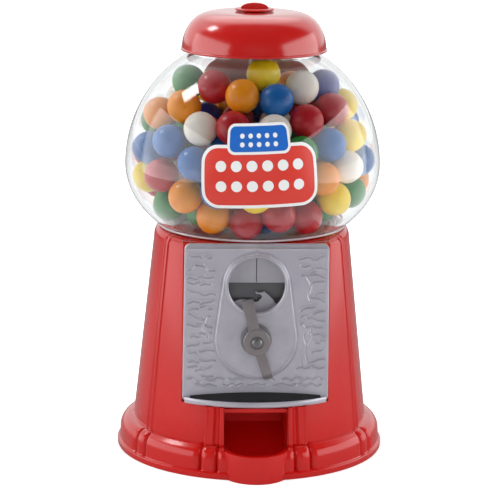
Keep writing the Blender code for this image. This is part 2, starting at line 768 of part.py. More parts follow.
def build_base_floor(red):
    """Bottom cover with the rod's boss, the coin plug's hole and four screw holes."""
    radius = FOOT_RADIUS - FOOT_WALL - GAP
    floor = add("base_floor", turned(((0, 0), (radius, 0), (radius, FLOOR_THICK), (0, FLOOR_THICK))), red)
    join(floor, cylinder(0, 0, ROD_BOSS_RADIUS, FLOOR_THICK / 2, ROD_BOSS_HEIGHT))
    cut(floor, cylinder(0, 0, ROD_RADIUS + BORE_GAP, ROD_SEAT, ROD_BOSS_HEIGHT + OVERRUN))
    notch = THROAT_HALF + THROAT_WALL + GAP
    cut(floor, block((-notch, -radius - OVERRUN, -OVERRUN), (notch, GAP - THROAT_BACK, FLOOR_THICK + OVERRUN)))
    cut(floor, together(
        [floor_hole(0, PLUG_PLACE, PLUG_RADIUS, PLUG_FLANGE_RADIUS, PLUG_FLANGE_THICK, CUP_STEPS)]
        + [floor_hole(x, y, SCREW_SHANK, FLOOR_SCREW_HEAD, SCREW_RECESS + SCREW_HEAD_THICK, SCREW_STEPS)
           for x, y in screw_ring()]
    ))
    return floor


def floor_hole(x, y, body, head, head_depth, steps):
    """Stepped hole from below for a part with a body and a wider head."""
    high = FLOOR_THICK + OVERRUN
    return turned_at(x, y, (
        (0, -OVERRUN), (head + GAP, -OVERRUN), (head + GAP, head_depth + GAP),
        (body + BORE_GAP, head_depth + GAP), (body + BORE_GAP, high), (0, high),
    ), steps)


def screw_shape(head, head_thick, shank, length):
    """Pan-head screw about Z, head down, with its head's face at zero."""
    crown = head_thick / 3
    return turned((
        (0, 0), (head - crown, 0), (head, crown), (head, head_thick),
        (shank, head_thick), (shank, length - shank), (shank / 2, length), (0, length),
    ), SCREW_STEPS)


def build_floor_screws(steel):
    """Four screws that hold the bottom cover."""
    for number, (x, y) in enumerate(screw_ring(), start=1):
        shape = screw_shape(FLOOR_SCREW_HEAD, SCREW_HEAD_THICK, SCREW_SHANK, FLOOR_SCREW_LENGTH - SCREW_RECESS)
        bmesh.ops.translate(shape, verts=shape.verts, vec=(x, y, SCREW_RECESS))
        add(f"floor_screw_{number}", shape, steel)


def build_coin_plug(black):
    """Stopper that closes the coin box from below."""
    lead = PLUG_HEIGHT - PLUG_FLANGE_THICK
    plug = turned_at(0, PLUG_PLACE, (
        (0, PLUG_DISH_DEPTH), (PLUG_DISH_RADIUS, PLUG_DISH_DEPTH), (PLUG_DISH_RADIUS + PLUG_DISH_DEPTH, 0),
        (PLUG_FLANGE_RADIUS, 0), (PLUG_FLANGE_RADIUS, PLUG_FLANGE_THICK), (PLUG_RADIUS, PLUG_FLANGE_THICK),
        (PLUG_RADIUS, PLUG_HEIGHT - lead / 4), (PLUG_RADIUS - lead / 4, PLUG_HEIGHT), (0, PLUG_HEIGHT),
    ), CUP_STEPS)
    add("coin_plug", plug, black, origin=(0, PLUG_PLACE, 0))


def build_center_rod(steel):
    """Tie rod from the floor's boss to the knob, with the collar that clamps the deck."""
    seat = DECK_FLOOR + GAP
    rod = turned((
        (0, ROD_SEAT + GAP), (ROD_RADIUS, ROD_SEAT + GAP), (ROD_RADIUS, seat),
        (ROD_COLLAR_RADIUS, seat), (ROD_COLLAR_RADIUS, seat + ROD_COLLAR_THICK),
        (ROD_RADIUS, seat + ROD_COLLAR_THICK), (ROD_RADIUS, ROD_TOP), (0, ROD_TOP),
    ), SMALL_STEPS)
    add("center_rod", rod, steel)
    high = DECK_FLOOR - DECK_FLOOR_THICK - GAP
    corners = arc((0, 0), NUT_RADIUS, 0, 2 * math.pi, 6)[:-1]
    nut = add("rod_nut", prism(corners, high - NUT_THICK, high), steel, sharp=math.radians(20))
    cut(nut, cylinder(0, 0, ROD_RADIUS + BORE_GAP, high - NUT_THICK - OVERRUN, high + OVERRUN))


def idler_height():
    """Height of the idler gear's axis above the handle's."""
    return HANDLE_HEIGHT + GEAR_MODULE * (PINION_TEETH + IDLER_TEETH) / 2


def crown_height():
    """Height of the crown gear's pitch plane."""
    return idler_height() + GEAR_MODULE * IDLER_TEETH / 2


def build_hopper_deck(grey):
    """Well for the dispensing wheel: raised ball floor, tooth channel, drop hole and gear slot."""
    wall = WELL_RADIUS + WELL_WALL
    seat = globe_foot()
    rim = seat + DECK_FLANGE_THICK
    low = CHANNEL_FLOOR - DECK_FLOOR_THICK
    under = DECK_FLOOR - DECK_FLOOR_THICK
    ledge = rim - GUARD_LEDGE_DEPTH
    deck = add("hopper_deck", turned((
        (wall, low), (wall, seat), (wall + DECK_FLANGE, seat), (wall + DECK_FLANGE, rim),
        (WELL_RADIUS + GUARD_LEDGE, rim), (WELL_RADIUS + GUARD_LEDGE, ledge), (WELL_RADIUS, ledge),
        (WELL_RADIUS, CHANNEL_FLOOR), (CHANNEL_INNER, CHANNEL_FLOOR), (CHANNEL_INNER, DECK_FLOOR),
        (ROD_RADIUS + BORE_GAP, DECK_FLOOR), (ROD_RADIUS + BORE_GAP, under),
        (CHANNEL_INNER - DECK_FLOOR_THICK, under), (CHANNEL_INNER - DECK_FLOOR_THICK, low),
    )), grey)
    cut(deck, cylinder(0, -POCKET_RING, TUBE_RADIUS, low, DECK_FLOOR + OVERRUN, TUBE_STEPS))
    tip = GEAR_MODULE * (IDLER_TEETH / 2 + ADDENDUM_SHARE)
    rear = GEAR_BACK - GAP * 2
    front = GEAR_BACK + GEAR_WIDTH + GAP * 2
    half = tip + GAP
    cut(deck, front_block(half, low - OVERRUN, CHANNEL_FLOOR + OVERRUN / 8, rear, front))
    return deck


def crown_ring():
    """Ring of face teeth under the wheel, with a tooth at the front."""
    inner = GEAR_BACK - CROWN_LAP
    outer = GEAR_BACK + GEAR_WIDTH + CROWN_LAP
    pitch_radius = GEAR_MODULE * CROWN_TEETH / 2
    tip = crown_height() - GEAR_MODULE * ADDENDUM_SHARE
    root = crown_height() + GEAR_MODULE * CROWN_ROOT_SHARE
    top = root + CROWN_EMBED
    tip_half = math.asin(GEAR_MODULE * TIP_HALF_SHARE / pitch_radius)
    root_half = math.asin(GEAR_MODULE * CROWN_ROOT_HALF_SHARE / pitch_radius)
    edge = []
    for tooth in range(CROWN_TEETH):
        middle = -math.pi / 2 + 2 * math.pi * tooth / CROWN_TEETH
        edge += [
            (middle - root_half, root), (middle - tip_half, tip),
            (middle + tip_half, tip), (middle + root_half, root),
        ]
    shape = bmesh.new()
    rows = []
    for angle, height in edge:
        c, s = math.cos(angle), math.sin(angle)
        rows.append([
            shape.verts.new((inner * c, inner * s, height)),
            shape.verts.new((outer * c, outer * s, height)),
            shape.verts.new((outer * c, outer * s, top)),
            shape.verts.new((inner * c, inner * s, top)),
        ])
    for row, following in zip(rows, rows[1:] + rows[:1]):
        for i in range(4):
            j = (i + 1) % 4
            shape.faces.new((row[i], row[j], following[j], following[i]))
    bmesh.ops.recalc_face_normals(shape, faces=shape.faces)
    return shape


def pocket_places():
    """Centres of the wheel's pockets; the first stands over the drop hole."""
    return [
        (POCKET_RING * math.sin(2 * math.pi * i / POCKET_COUNT),
         -POCKET_RING * math.cos(2 * math.pi * i / POCKET_COUNT))
        for i in range(POCKET_COUNT)
    ]


def build_dispensing_wheel(white):
    """Thick wheel with five ball pockets and face teeth under its rim."""
    low = DECK_FLOOR + GAP
    root = crown_height() + GEAR_MODULE * CROWN_ROOT_SHARE
    step = GEAR_BACK - CROWN_LAP - GAP
    bore = ROD_RADIUS + BORE_GAP * 2
    recess_top = low + ROD_COLLAR_THICK + GAP
    wheel = add("dispensing_wheel", turned((
        (bore, recess_top), (HUB_RECESS, recess_top), (HUB_RECESS, low), (step, low), (step, root),
        (WHEEL_RADIUS, root), (WHEEL_RADIUS, WHEEL_TOP - POCKET_LEAD),
        (WHEEL_RADIUS - POCKET_LEAD, WHEEL_TOP), (bore, WHEEL_TOP),
    )), white, origin=(0, 0, WHEEL_TOP))
    join(wheel, crown_ring())
    pocket = (
        (0, low - OVERRUN), (POCKET_RADIUS, low - OVERRUN), (POCKET_RADIUS, WHEEL_TOP - POCKET_LEAD),
        (POCKET_RADIUS + POCKET_LEAD * 2, WHEEL_TOP + POCKET_LEAD), (0, WHEEL_TOP + POCKET_LEAD),
    )
    cut(wheel, together([turned_at(x, y, pocket, POCKET_STEPS) for x, y in pocket_places()]))
    return wheel


def build_ball_guard(grey):
    """Plate over the pocket at the drop hole, so that only the pocket's own ball falls."""
    low = globe_foot() + DECK_FLANGE_THICK - GUARD_LEDGE_DEPTH + GAP
    outer = WELL_RADIUS + GUARD_LEDGE - GAP
    front = -math.pi / 2
    sector = arc((0, 0), outer, front - GUARD_HALF_ANGLE, front + GUARD_HALF_ANGLE, 12)
    spread = math.asin(GUARD_HUB / outer) + GUARD_HALF_ANGLE
    hub = arc((0, 0), GUARD_HUB, front + spread, front - spread + 2 * math.pi, 14)
    guard = add("ball_guard", prism(sector + hub, low, low + GUARD_THICK), grey)
    cut(guard, cylinder(0, 0, ROD_RADIUS + BORE_GAP, low - OVERRUN, low + OVERRUN))
    return guard


def build_ball_chute(red):
    """Drop tube under the deck and the sloped tunnel that rolls the ball to the cup."""
    half = THROAT_HALF + TUNNEL_WALL
    front = THROAT_BACK - GAP
    foot = FLOOR_THICK + GAP
    rear = TUNNEL_BACK
    side_outline = (
        (front, foot), (front - TUNNEL_FOOT, foot), (rear, TUNNEL_FLOOR_BACK - TUNNEL_WALL),
        (rear, TUNNEL_TOP), (front, TUNNEL_TOP),
    )
    chute = add("ball_chute", side_prism(side_outline, half), red)
    tube_top = CHANNEL_FLOOR - DECK_FLOOR_THICK - GAP
    outer = TUBE_RADIUS + TUBE_WALL
    join(chute, cylinder(0, -POCKET_RING, outer, TUNNEL_TOP - TUNNEL_WALL / 2, tube_top, TUBE_STEPS))
    slope = (TUNNEL_FLOOR_BACK - TUNNEL_FLOOR_FRONT) / (front - rear)
    mouth = front + OVERRUN
    wall = rear + TUNNEL_WALL
    hollow = (
        (mouth, TUNNEL_FLOOR_FRONT - slope * OVERRUN),
        (wall, TUNNEL_FLOOR_BACK - slope * TUNNEL_WALL),
        (wall, TUNNEL_TOP - TUNNEL_WALL), (mouth, TUNNEL_TOP - TUNNEL_WALL),
    )
    cut(chute, side_prism(hollow, THROAT_HALF))
    cut(chute, cylinder(0, -POCKET_RING, TUBE_RADIUS, TUNNEL_TOP - TUNNEL_WALL * 2, tube_top + OVERRUN, TUBE_STEPS))
    return chute


def side_prism(outline, half):
    """Outline of (depth, height) points drawn across the machine between two equal half widths."""
    shape = bmesh.new()
    face = shape.faces.new([shape.verts.new((-half, -depth, height)) for depth, height in outline])
    drawn = bmesh.ops.extrude_face_region(shape, geom=[face])
    moved = [item for item in drawn["geom"] if isinstance(item, bmesh.types.BMVert)]
    bmesh.ops.translate(shape, verts=moved, vec=(2 * half, 0, 0))
    bmesh.ops.recalc_face_normals(shape, faces=shape.faces)
    return shape


def front_prism(outline, rear, front):
    """Outline of (side, height) points drawn between two depths."""
    return to_front(prism(outline, rear, front))


def raised_panel_outline():
    """Egg-shaped panel: the hull of a circle on the handle axis and one on the window."""
    rise = WINDOW_HEIGHT - HANDLE_HEIGHT
    lean = math.asin((PANEL_LOW_RADIUS - PANEL_TOP_RADIUS) / rise)
    return (
        arc((0, HANDLE_HEIGHT), PANEL_LOW_RADIUS, math.pi - lean, 2 * math.pi + lean, 22)
        + arc((0, WINDOW_HEIGHT), PANEL_TOP_RADIUS, lean, math.pi - lean, 16)
    )


def visor_outline(radius, half):
    """Crescent between the plate's face and an arc about the tie rod."""
    edge = math.asin(half / radius)
    curve = arc((0, 0), radius, -math.pi / 2 - edge, -math.pi / 2 + edge, 16)
    back = PLATE_BACK + PLATE_THICK / 2
    return curve + [(half, -back), (-half, -back)]


def build_front_plate(silver):
    """Die-cast plate: rim, raised panel, window bead, visor, and bosses behind."""
    rear = PLATE_BACK
    face = PLATE_BACK + PLATE_THICK
    outline = rounded_outline(PLATE_HALF_LOW, PLATE_HALF_HIGH, PLATE_LOW, PLATE_HIGH, PLATE_CORNER)
    plate = add("front_plate", front_prism(outline, rear, face + BORDER_RISE), silver)
    field = rounded_outline(
        PLATE_HALF_LOW - PLATE_BORDER, PLATE_HALF_HIGH - PLATE_BORDER,
        PLATE_LOW + VISOR_HEIGHT + VISOR_DISH, PLATE_HIGH - PLATE_BORDER, PLATE_CORNER / 2)
    cut(plate, front_prism(field, face, face + OVERRUN))
    half = PLATE_HALF_LOW - PLATE_CORNER / 2
    visor_top = PLATE_LOW + VISOR_HEIGHT
    join(plate, together((
        front_prism(raised_panel_outline(), rear + PLATE_THICK / 2, face + PLATE_PANEL_RISE),
        prism(visor_outline(VISOR_RADIUS, half), PLATE_LOW, visor_top),
    )))
    dish = visor_outline(VISOR_RADIUS - VISOR_BEAD, half - VISOR_BEAD * 2)
    dish = [(x, min(y, -face)) for x, y in dish]
    front = face + OVERRUN
    cut(plate, together((
        prism(dish, visor_top - VISOR_DISH, visor_top + VISOR_DISH),
        front_cylinder(0, WINDOW_HEIGHT, WINDOW_RADIUS + WINDOW_BEAD / 2, rear - OVERRUN, front, CUP_STEPS),
        front_cylinder(0, HANDLE_HEIGHT, SHAFT_RADIUS + BORE_GAP, rear - OVERRUN, front),
    )))
    bead = WINDOW_RADIUS + WINDOW_BEAD
    ring = turned((
        (WINDOW_RADIUS, rear + GAP), (bead, rear + GAP), (bead, face + BEAD_RISE - BEAD_EDGE),
        (bead - BEAD_EDGE, face + BEAD_RISE), (WINDOW_RADIUS, face + BEAD_RISE),
    ), CUP_STEPS)
    bosses = [to_front(ring, 0, WINDOW_HEIGHT)]
    for side, height in plate_screw_places():
        bosses.append(front_cylinder(side, height, PLATE_BOSS_RADIUS, rear - SEAT_WALL, rear + GAP))
    for side, height, wall in housing_screw_places():
        boss_end = wall + housing_wall_thick(wall) + GAP
        bosses.append(front_cylinder(side, height, BOSS_RADIUS, boss_end, rear + GAP))
    join(plate, together(bosses))
    holes = []
    for side, height in plate_screw_places():
        hole_start = rear - SEAT_WALL - OVERRUN
        hole_end = rear + PLATE_THICK / 2
        holes.append(front_cylinder(side, height, SCREW_SHANK + BORE_GAP, hole_start, hole_end, SCREW_STEPS))
    for side, height, wall in housing_screw_places():
        hole = HOUSING_SCREW_SHANK + BORE_GAP
        hole_end = wall + housing_wall_thick(wall) + HOUSING_SCREW_REACH + GAP
        holes.append(front_cylinder(side, height, hole, wall - OVERRUN, hole_end, SCREW_STEPS))
    cut(plate, together(holes))
    return plate


def housing_wall_thick(wall):
    """Thickness of the housing's rear wall at a given depth."""
    return HOUSING_REAR_THICK if wall == HOUSING_REAR else HOUSING_UPPER_THICK


def build_plate_screws(steel):
    """Four screws that draw the plate onto its seat from inside the pedestal."""
    seat_rear = PLATE_BACK - GAP - SEAT_WALL
    for number, (side, height) in enumerate(plate_screw_places(), start=1):
        head_face = seat_rear - GAP - SCREW_HEAD_THICK
        length = SCREW_HEAD_THICK + GAP + PLATE_SCREW_REACH
        shape = screw_shape(PLATE_SCREW_HEAD, SCREW_HEAD_THICK, SCREW_SHANK, length)
        bmesh.ops.translate(shape, verts=shape.verts, vec=(0, 0, head_face))
        add(f"plate_screw_{number}", to_front(shape, side, height), steel)


def build_coin_guide(silver):
    """Flat guide behind the upper half of the window, with a fine seam down its middle."""
    front = PLATE_BACK - GAP
    rear = front - GUIDE_THICK
    high = HOUSING_TOP - HOUSING_WALL - GAP
    outline = rounded_outline(GUIDE_HALF, GUIDE_HALF, GUIDE_LOW, high, GUIDE_CORNER / 4)
    guide = add("coin_guide", front_prism(outline, rear, front), silver)
    seam = front_block(GUIDE_SEAM / 2, GUIDE_LOW + GUIDE_CORNER / 2, high - GUIDE_CORNER / 4,
                       front - GUIDE_SEAM_DEPTH, front + OVERRUN)
    cut(guide, seam)
    return guide


def build_mech_housing(dark):
    """Tray behind the plate that carries the shaft, the idler and the dog; open at the bottom."""
    front = PLATE_BACK - GAP
    inner = HOUSING_HALF - HOUSING_WALL
    lower_wall = HOUSING_REAR + HOUSING_REAR_THICK
    upper_wall = HOUSING_UPPER + HOUSING_UPPER_THICK
    corner = HOUSING_CORNER
    tall = rounded_outline(HOUSING_HALF, HOUSING_HALF, HOUSING_LOW, HOUSING_TOP, corner)
    housing = add("mech_housing", front_prism(tall, HOUSING_UPPER, front), dark)
    short = rounded_outline(HOUSING_HALF, HOUSING_HALF, HOUSING_LOW, HOUSING_STEP, corner)
    join(housing, front_prism(short, HOUSING_REAR, HOUSING_UPPER + HOUSING_UPPER_THICK / 2))
    room = rounded_outline(inner, inner, HOUSING_LOW - OVERRUN, HOUSING_TOP - HOUSING_WALL, corner / 2)
    cut(housing, front_prism(room, upper_wall, front + OVERRUN))
    step_top = HOUSING_STEP - HOUSING_WALL
    lower_room = rounded_outline(inner, inner, HOUSING_LOW - OVERRUN, step_top, corner / 2)
    cut(housing, front_prism(lower_room, lower_wall, upper_wall + OVERRUN / 4))
    holes = [
        (0, HANDLE_HEIGHT, SHAFT_RADIUS + BORE_GAP),
        (0, idler_height(), IDLER_PIN_RADIUS + BORE_GAP),
        (-DOG_SIDE, HANDLE_HEIGHT + DOG_RISE, DOG_PIN_RADIUS + BORE_GAP),
    ]
    holes += [(side, height, HOUSING_SCREW_SHANK + BORE_GAP) for side, height, _ in housing_screw_places()]
    drills = []
    for side, height, radius in holes:
        reach = HOUSING_UPPER if height > HOUSING_STEP else HOUSING_REAR
        far = reach + housing_wall_thick(reach) + GAP
        drills.append(front_cylinder(side, height, radius, reach - GAP, far, TINY_STEPS))
    cut(housing, together(drills))
    return housing


def build_housing_screws(steel):
    """Four screws that hold the housing to the bosses behind the plate."""
    for number, (side, height, wall) in enumerate(housing_screw_places(), start=1):
        length = SCREW_HEAD_THICK + GAP + housing_wall_thick(wall) + HOUSING_SCREW_REACH
        shape = screw_shape(HOUSING_SCREW_HEAD, SCREW_HEAD_THICK, HOUSING_SCREW_SHANK, length)
        bmesh.ops.translate(shape, verts=shape.verts, vec=(0, 0, wall - GAP - SCREW_HEAD_THICK))
        add(f"housing_screw_{number}", to_front(shape, side, height), steel)


def gear_outline(teeth, phase):
    """Spur gear outline with straight-flanked teeth, the first centred on the phase angle."""
    pitch_radius = GEAR_MODULE * teeth / 2
    tip = pitch_radius + GEAR_MODULE * ADDENDUM_SHARE
    root = pitch_radius - GEAR_MODULE * DEDENDUM_SHARE
    tip_half = math.asin(GEAR_MODULE * TIP_HALF_SHARE / tip)
    root_half = math.asin(GEAR_MODULE * ROOT_HALF_SHARE / root)
    outline = []
    for tooth in range(teeth):
        middle = phase + 2 * math.pi * tooth / teeth
        for angle, radius in (
            (middle - root_half, root), (middle - tip_half, tip),
            (middle + tip_half, tip), (middle + root_half, root),
        ):
            outline.append((radius * math.cos(angle), radius * math.sin(angle)))
    return outline


def build_gears(axis, brass, nylon):
    """Pinion on the handle shaft and the idler that carries its turn up to the wheel."""
    front = GEAR_BACK + GEAR_WIDTH
    shape = prism(gear_outline(PINION_TEETH, math.pi / 2), GEAR_BACK, front)
    pinion = add("drive_pinion", to_front(shape, 0, HANDLE_HEIGHT), brass,
                 origin=(0, -GEAR_BACK, HANDLE_HEIGHT), parent=axis)
    cut(pinion, front_cylinder(0, HANDLE_HEIGHT, SHAFT_RADIUS + BORE_GAP, GEAR_BACK - OVERRUN, front + OVERRUN))
    height = idler_height()
    half_tooth = math.pi / IDLER_TEETH
    shape = prism(gear_outline(IDLER_TEETH, -math.pi / 2 + half_tooth), GEAR_BACK, front)
    idler = add("idler_gear", to_front(shape, 0, height), nylon, origin=(0, -GEAR_BACK, height))
    bore = IDLER_PIN_RADIUS + BORE_GAP
    cut(idler, front_cylinder(0, height, bore, GEAR_BACK - OVERRUN, front + OVERRUN, TINY_STEPS))


def build_idler_pin(steel):
    """Headed pin through the housing that the idler turns on."""
    seat = HOUSING_REAR + HOUSING_REAR_THICK + GAP
    head = seat + IDLER_PIN_HEAD_THICK
    shape = turned((
        (0, IDLER_PIN_END), (IDLER_PIN_RADIUS, IDLER_PIN_END), (IDLER_PIN_RADIUS, seat),
        (IDLER_PIN_HEAD, seat), (IDLER_PIN_HEAD, head), (0, head),
    ), TINY_STEPS)
    add("idler_pin", to_front(shape, 0, idler_height()), steel)


def coin_wheel_outline():
    """Edge of the coin wheel: lobe, coin notch and hook at the top, plain round below."""
    edge = [
        clockwise(math.radians(angle), COIN_WHEEL_RADIUS * share)
        for angle, share in COIN_EDGE_SHARES
    ]
    start = COIN_EDGE_SHARES[-1][0] + COIN_BACK_STEP
    end = COIN_EDGE_SHARES[0][0] + 360
    for angle in range(start, end - COIN_BACK_STEP // 2, COIN_BACK_STEP):
        edge.append(clockwise(math.radians(angle), COIN_WHEEL_RADIUS * COIN_BACK_SHARE))
    return edge


def ratchet_outline():
    """Saw teeth that let the shaft turn clockwise past the dog."""
    pitch = 2 * math.pi / RATCHET_TEETH
    wall = DOG_NOSE_ANGLE + math.radians(2)
    edge = []
    for tooth in range(RATCHET_TEETH):
        angle = wall + pitch * tooth
        edge.append(clockwise(angle - pitch / 30, RATCHET_ROOT))
        edge.append(clockwise(angle, RATCHET_TIP))
        edge.append(clockwise(angle + pitch / 2, (RATCHET_TIP + RATCHET_ROOT) / 2))
    return edge


def build_shaft_group(axis, silver, steel):
    """Shaft, coin wheel, ratchet wheel and retaining clip, all turning with the handle."""
    bore = SHAFT_RADIUS + BORE_GAP
    face = PLATE_BACK + PLATE_THICK + PLATE_PANEL_RISE + GAP
    shaft_front = face + COLLAR_THICK
    shaft_rear = GEAR_BACK - GAP
    place = (0, -shaft_rear, HANDLE_HEIGHT)
    shape = turned((
        (0, shaft_rear + GAP - SHAFT_END_LENGTH), (SHAFT_END_RADIUS, shaft_rear + GAP - SHAFT_END_LENGTH),
        (SHAFT_END_RADIUS, shaft_rear + GAP), (SHAFT_RADIUS, shaft_rear + GAP),
        (SHAFT_RADIUS, shaft_front), (RIVET_SHANK + BORE_GAP, shaft_front),
        (RIVET_SHANK + BORE_GAP, shaft_front - RIVET_REACH), (0, shaft_front - RIVET_REACH),
    ), SMALL_STEPS)
    add("handle_shaft", to_front(shape, 0, HANDLE_HEIGHT), steel, origin=place, parent=axis)

    clip_front = GEAR_BACK - GAP
    clip_rear = clip_front - CLIP_THICK
    clip = add("shaft_clip", front_cylinder(0, HANDLE_HEIGHT, CLIP_RADIUS, clip_rear, clip_front), steel,
               origin=(0, -clip_rear, HANDLE_HEIGHT), parent=axis)
    cut(clip, front_cylinder(0, HANDLE_HEIGHT, SHAFT_END_RADIUS + BORE_GAP, clip_rear - OVERRUN,
                             clip_front + OVERRUN, TINY_STEPS))

    for name, outline, rear, thick, material in (
        ("coin_wheel", coin_wheel_outline(), COIN_WHEEL_REAR, COIN_WHEEL_THICK, silver),
        ("ratchet_wheel", ratchet_outline(), RATCHET_REAR, RATCHET_THICK, steel),
    ):
        shape = to_front(prism(outline, rear, rear + thick), 0, HANDLE_HEIGHT)
        wheel = add(name, shape, material, origin=(0, -rear, HANDLE_HEIGHT), parent=axis, sharp=math.radians(25))
        cut(wheel, front_cylinder(0, HANDLE_HEIGHT, bore, rear - OVERRUN, rear + thick + OVERRUN))


def arm_shape(length, angle, root_half, tip_half, hub_front):
    """Cranked arm: it leaves the hub, steps back towards the plate and ends in a bent tip."""
    base = hub_front - ARM_THICK - HUB_EDGE
    rise = ARM_RAISE
    stations = (
        (0.0, 0.0, root_half), (0.34, 0.0, root_half * 0.98), (0.56, rise, tip_half * 0.94),
        (0.92, rise * 0.8, tip_half), (1.0, -rise * 0.6, tip_half * 0.96),
    )
    rings = []
    for share, lift, half in stations:
        along = share * length
        rear = base + lift
        front = rear + ARM_THICK
        rings.append([
            (-half, along, rear), (half, along, rear), (half, along, front - ARM_EDGE),
            (half - ARM_EDGE, along, front), (ARM_EDGE - half, along, front),
            (-half, along, front - ARM_EDGE),
        ])
    shape = loft(rings)
    bmesh.ops.rotate(shape, verts=shape.verts, cent=(0, 0, 0), matrix=Matrix.Rotation(-angle, 3, "Z"))
    return to_front(shape, 0, HANDLE_HEIGHT)


def build_handle(axis, grey, silver, steel):
    """Turning lever with its hub, the collar behind it and the rivet in front."""
    panel = PLATE_BACK + PLATE_THICK + PLATE_PANEL_RISE
    collar_rear = panel + GAP
    collar_front = collar_rear + COLLAR_THICK
    collar = turned((
        (SHAFT_RADIUS + BORE_GAP, collar_rear), (COLLAR_RADIUS, collar_rear),
        (COLLAR_RADIUS, collar_front - HUB_EDGE), (COLLAR_RADIUS - HUB_EDGE, collar_front),
        (SHAFT_RADIUS + BORE_GAP, collar_front),
    ), 24)
    add("handle_collar", to_front(collar, 0, HANDLE_HEIGHT), silver)

    hub_rear = collar_front + GAP
    hub_front = hub_rear + HUB_THICK
    place = (0, -hub_rear, HANDLE_HEIGHT)
    hub = turned((
        (0, hub_rear), (HUB_RADIUS, hub_rear), (HUB_RADIUS, hub_front - HUB_EDGE),
        (HUB_RADIUS - HUB_EDGE, hub_front), (0, hub_front),
    ), 24)
    handle = add("handle", to_front(hub, 0, HANDLE_HEIGHT), grey, origin=place, parent=axis)
    join(handle, arm_shape(UPPER_ARM_LENGTH, UPPER_ARM_ANGLE, ARM_HALF_WIDE, ARM_HALF_WIDE, hub_front))
    join(handle, arm_shape(LOWER_ARM_LENGTH, LOWER_ARM_ANGLE, ARM_HALF_NARROW, ARM_HALF_NARROW, hub_front))
    cut(handle, front_cylinder(0, HANDLE_HEIGHT, RIVET_SHANK + BORE_GAP, hub_rear - OVERRUN,
                               hub_front + OVERRUN, TINY_STEPS))

    head = hub_front + GAP
    rivet = turned((
        (0, collar_front - RIVET_REACH + GAP), (RIVET_SHANK, collar_front - RIVET_REACH + GAP),
        (RIVET_SHANK, head), (RIVET_HEAD, head), (RIVET_HEAD * 0.88, head + RIVET_DOME * 0.55),
        (RIVET_HEAD * 0.5, head + RIVET_DOME * 0.9), (0, head + RIVET_DOME),
    ), SMALL_STEPS)
    add("handle_rivet", to_front(rivet, 0, HANDLE_HEIGHT), steel, origin=place, parent=axis)


def build_coin_dog(steel):
    """Pawl that stands at the ratchet's tips, the pin it swings on and the leaf that presses it."""
    pivot = (-DOG_SIDE, DOG_RISE)
    pitch = 2 * math.pi / RATCHET_TEETH
    nose_radius = RATCHET_TIP + GAP
    nose_high = clockwise(DOG_NOSE_ANGLE, nose_radius)
    nose_low = clockwise(DOG_NOSE_ANGLE - pitch / 6, nose_radius)
    heel = clockwise(DOG_NOSE_ANGLE - pitch * 0.4, RATCHET_TIP + DOG_NOSE_LIFT)
    back = clockwise(DOG_NOSE_ANGLE - pitch / 12, RATCHET_TIP + DOG_EYE)
    reach = math.atan2(nose_high[1] - pivot[1], nose_high[0] - pivot[0])
    eye = arc(pivot, DOG_EYE, reach + math.pi / 2, reach + 3 * math.pi / 2, 8)
    outline = [back] + eye + [heel, nose_low, nose_high]
    rear = RATCHET_REAR
    front = RATCHET_REAR + RATCHET_THICK
    place = (pivot[0], -rear, HANDLE_HEIGHT + pivot[1])
    shape = to_front(prism(outline, rear, front), 0, HANDLE_HEIGHT)
    dog = add("coin_dog", shape, steel, origin=place, sharp=math.radians(20))
    cut(dog, front_cylinder(pivot[0], HANDLE_HEIGHT + pivot[1], DOG_PIN_RADIUS + BORE_GAP,
                            rear - OVERRUN / 4, front + OVERRUN / 4, TINY_STEPS))

    wall = HOUSING_REAR - GAP
    pin = turned((
        (0, wall - SCREW_HEAD_THICK), (DOG_PIN_HEAD, wall - SCREW_HEAD_THICK), (DOG_PIN_HEAD, wall),
        (DOG_PIN_RADIUS, wall), (DOG_PIN_RADIUS, front), (0, front),
    ), TINY_STEPS)
    add("dog_pin", to_front(pin, pivot[0], HANDLE_HEIGHT + pivot[1]), steel)

    side = HOUSING_HALF - HOUSING_WALL - GAP
    contact = (
        (back[0] + eye[0][0]) / 2 - GAP - LEAF_THICK / 2,
        (back[1] + eye[0][1]) / 2 + GAP + LEAF_THICK / 2,
    )
    spine = [
        (-side, LEAF_TOP), (-side, LEAF_TOP * 0.62), (-side * 0.9, LEAF_TOP * 0.48),
        ((contact[0] - side) / 2, (contact[1] + LEAF_TOP * 0.40) / 2), contact,
    ]
    outer = [(x, y) for x, y in spine]
    inner = [(x + LEAF_THICK, y + LEAF_THICK) for x, y in spine]
    inner[0] = (spine[0][0] + LEAF_THICK, spine[0][1])
    leaf = to_front(prism(outer + inner[::-1], rear, front), 0, HANDLE_HEIGHT)
    add("dog_spring", leaf, steel, sharp=math.radians(20))


def globe_radius(height, wall=0.0):
    """Radius of the globe's skin at a height; wall moves it inwards."""
    half = (GLOBE_UPPER if height > GLOBE_EQUATOR else GLOBE_LOWER) - wall
    share = (height - GLOBE_EQUATOR) / half
    return (GLOBE_RADIUS - wall) * math.sqrt(max(0.0, 1 - share * share))


def globe_curve(wall, low, high_radius, steps_low, steps_high):
    """Profile of the globe's skin from a lower height up to the neck's radius."""
    radius = GLOBE_RADIUS - wall
    lower = GLOBE_LOWER - wall
    upper = GLOBE_UPPER - wall
    start = math.asin((low - GLOBE_EQUATOR) / lower)
    end = math.acos(high_radius / radius)
    points = []
    for i in range(steps_low):
        angle = start * (1 - i / steps_low)
        points.append((radius * math.cos(angle), GLOBE_EQUATOR + lower * math.sin(angle)))
    for i in range(steps_high + 1):
        angle = end * i / steps_high
        points.append((radius * math.cos(angle), GLOBE_EQUATOR + upper * math.sin(angle)))
    return points


